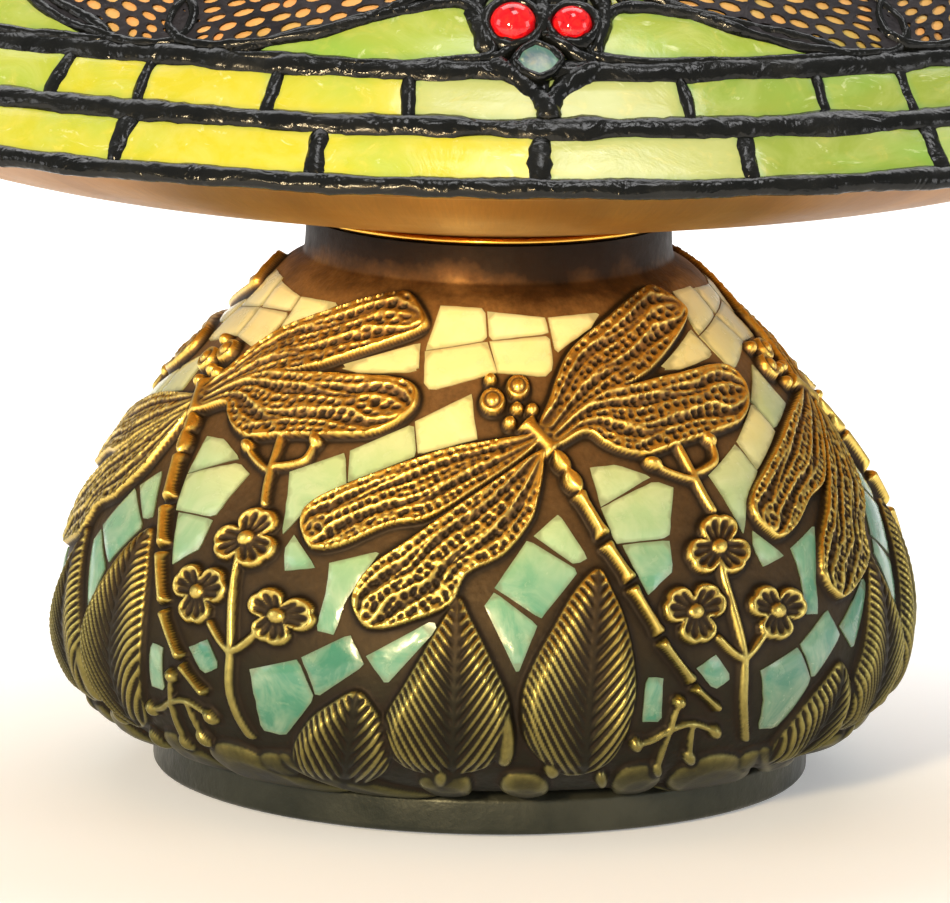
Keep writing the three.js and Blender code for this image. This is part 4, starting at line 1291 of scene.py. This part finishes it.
# ------------------------------------------------------------------ inside: column, cluster, sockets, bulbs, chains
turned("column_tube_v", [(6, 137), (11, 137), (11.4, 138), (11, 139), (8.8, 140.6), (8.2, 143), (8.2, 158), (8.8, 160.6), (11, 162), (11.4, 163.4), (11, 164.7), (6, 164.7)], M["bronze"], "base", ["column_tube"], 64, r=0.7)
b0, b1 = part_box("felt_pad")
turned("felt_pad_v", [(0, 0), (71, 0), (71, 1.5), (0, 1.5)], M["felt"], "base", ["felt_pad"], 128, r=0.3, n=2)
for tag, kx in (("left", -1), ("right", 1)):
    lo, hi = lohi(f"bulb_base_{tag}")
    cx, z0 = 0.5 * (lo[0] + hi[0]), lo[2] - 13.0
    prof_b = [(0, z0 + 13), (4, z0 + 13), (4.6, z0 + 14.4), (10.2, z0 + 18.4)]
    z = z0 + 19.4
    while z < z0 + 40:
        prof_b += [(11.0, z), (11.0, z + 1.0), (9.9, z + 2.0), (9.9, z + 2.6)]
        z += 3.4
    prof_b += [(11.0, z0 + 42), (11.0, z0 + 44), (0, z0 + 44)]
    turned(f"bulb_base_{tag}_v", prof_b, M["steel"], "base", [f"bulb_base_{tag}"], 48, (cx, 0, 0), 0.4, 2)
    g_ = catmull([(11, z0 + 44.3), (11.6, z0 + 49), (14.4, z0 + 55), (19.4, z0 + 61.4), (22.8, z0 + 68), (23.5, z0 + 74), (22.8, z0 + 80.6), (19.4, z0 + 87.4), (14, z0 + 92.6), (7, z0 + 96.2), (0, z0 + 97)], False, 3)
    turned(f"bulb_glass_{tag}_v", [(0, z0 + 44.3)] + [tuple(q) for q in g_], M["bulb"], "base", [f"bulb_glass_{tag}"], 64, (cx, 0, 0), 0.2, 1)
    lo, hi = lohi(f"pull_chain_{tag}")
    px, zt, zb = 0.5 * (lo[0] + hi[0]), hi[2], lo[2]
    pr = [(0, zt)]
    z = zt - 0.3
    while z > zb + 2.0:
        pr += [(0.4, z), (0.95, z - 0.45), (1.25, z - 1.1), (0.95, z - 1.75), (0.4, z - 2.2)]
        z -= 2.5
    pr += [(0.4, zb), (0, zb)]
    turned(f"pull_chain_{tag}_v", pr, M["brass"], f"chain_{tag}", [f"pull_chain_{tag}"], 16, (px, 0, 0), 0.1, 1)
    lo, hi = lohi(f"chain_pull_{tag}")
    pr = [(0, lo[2]), (1.3, lo[2] + 0.2), (2.6, lo[2] + 1.6), (3.2, lo[2] + 3.8), (2.9, lo[2] + 6.2), (1.7, lo[2] + 8.6), (1.2, lo[2] + 10.6), (1.7, lo[2] + 11.4), (1.7, lo[2] + 12.6), (1.1, hi[2] - 0.6), (0, hi[2])]
    turned(f"chain_pull_{tag}_v", pr, M["brass"], f"chain_{tag}", [f"chain_pull_{tag}"], 32, (px, 0, 0), 0.4, 2)

CARRY = {"rod_nut": "brass", "rod_washer": "steel", "base_weight": "iron", "cord_bushing": "rubber", "lamp_rod": "brass", "saucer_nut": "brass", "cluster_body": "bronze", "shade_wheel": "brass",
         "socket_shell_left": "brass", "socket_shell_right": "brass", "socket_insulator_left": "porcelain", "socket_insulator_right": "porcelain"}
for node, key in CARRY.items():
    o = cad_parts[node]
    o.data.materials.clear()
    o.data.materials.append(M[key])
    o.data.polygons.foreach_set("use_smooth", np.full(len(o.data.polygons), True))
    o.data.set_sharp_from_angle(angle=math.radians(38))

# ------------------------------------------------------------------ stage, lights, camera
def stage_mesh(name, V, F, mat):
    me = bpy.data.meshes.new(name)
    me.from_pydata(V, [], F)
    ob = bpy.data.objects.new(name, me)
    bpy.context.scene.collection.objects.link(ob)
    me.materials.append(mat)
    return ob


fm, fnt, fbs = nodes_of("floor_paper")
fn = noise(fnt, 3.0, 3, 0.5, coords(fnt))
fnt.links.new(ramp(fnt, fn.outputs[0], [(0.3, (0.90, 0.90, 0.90)), (0.7, (0.93, 0.93, 0.93))]).outputs[0], fbs.inputs["Base Color"])
fbs.inputs["Roughness"].default_value = 0.9
fbs.inputs["Emission Color"].default_value = (1, 1, 1, 1)
fbs.inputs["Emission Strength"].default_value = 0.26
stage_mesh("studio_floor", [(-6, -6, -0.0002), (6, -6, -0.0002), (6, 6, -0.0002), (-6, 6, -0.0002)], [(0, 1, 2, 3)], fm)

world = bpy.data.worlds.new("studio")
bpy.context.scene.world = world
world.use_nodes = True
world.node_tree.nodes["Background"].inputs[0].default_value = (1, 1, 1, 1)
world.node_tree.nodes["Background"].inputs[1].default_value = 0.40


def area(name, loc, target, size, power, color=(1, 1, 1), size_y=None):
    d = bpy.data.lights.new(name, "AREA")
    d.energy, d.color, d.size = power, color, size
    if size_y:
        d.shape, d.size_y = "RECTANGLE", size_y
    o = bpy.data.objects.new(name, d)
    bpy.context.scene.collection.objects.link(o)
    o.location = loc
    o.rotation_euler = (Vector(target) - Vector(loc)).to_track_quat("-Z", "Y").to_euler()
    return o


area("key_warm", (-0.62, -1.75, 0.62), (0, 0, 0.085), 0.20, 36, (1.0, 0.77, 0.44))
area("fill_left", (-1.7, -0.5, 0.6), (0, 0, 0.1), 0.7, 6)
area("fill_right", (1.7, -0.6, 0.5), (0, 0, 0.1), 0.7, 6)
area("top", (0.15, -0.45, 1.5), (0, -0.15, 0.2), 0.45, 6)
area("floor_glow", (0, 1.5, 1.6), (0, 1.0, 0), 2.2, 50)
area("strip", (-0.12, -1.6, 0.20), (0, 0, 0.12), 0.08, 1.6, (1.0, 0.86, 0.66), 0.5)

spot = bpy.data.lights.new("warm_accent", "SPOT")
spot.energy, spot.color, spot.spot_size, spot.spot_blend, spot.shadow_soft_size = 60, (1.0, 0.66, 0.28), math.radians(6.0), 1.0, 0.03
so = bpy.data.objects.new("warm_accent", spot)
bpy.context.scene.collection.objects.link(so)
so.location = (-0.16, -1.5, 0.27)
so.rotation_euler = (Vector((-0.004, -0.05, 0.108)) - so.location).to_track_quat("-Z", "Y").to_euler()

cam_d = bpy.data.cameras.new("camera")
cam_d.sensor_width = 36.0
cam_d.lens = FOC / 950.0 * 36.0
cam_d.clip_end = 50.0
cam = bpy.data.objects.new("camera", cam_d)
bpy.context.scene.collection.objects.link(cam)
shift = OFFX * 2243.0 / FOC * MM
cam.location = (-shift, -DH * MM, ZC * MM)
look = (Vector((-shift, 0, TY * MM)) - cam.location).to_track_quat("-Z", "Y").to_matrix().to_4x4()
cam.matrix_world = Matrix.Translation(cam.location) @ look @ Matrix.Rotation(ROLL, 4, "Z")
bpy.context.scene.camera = cam
bpy.context.scene.view_settings.view_transform = "Standard"
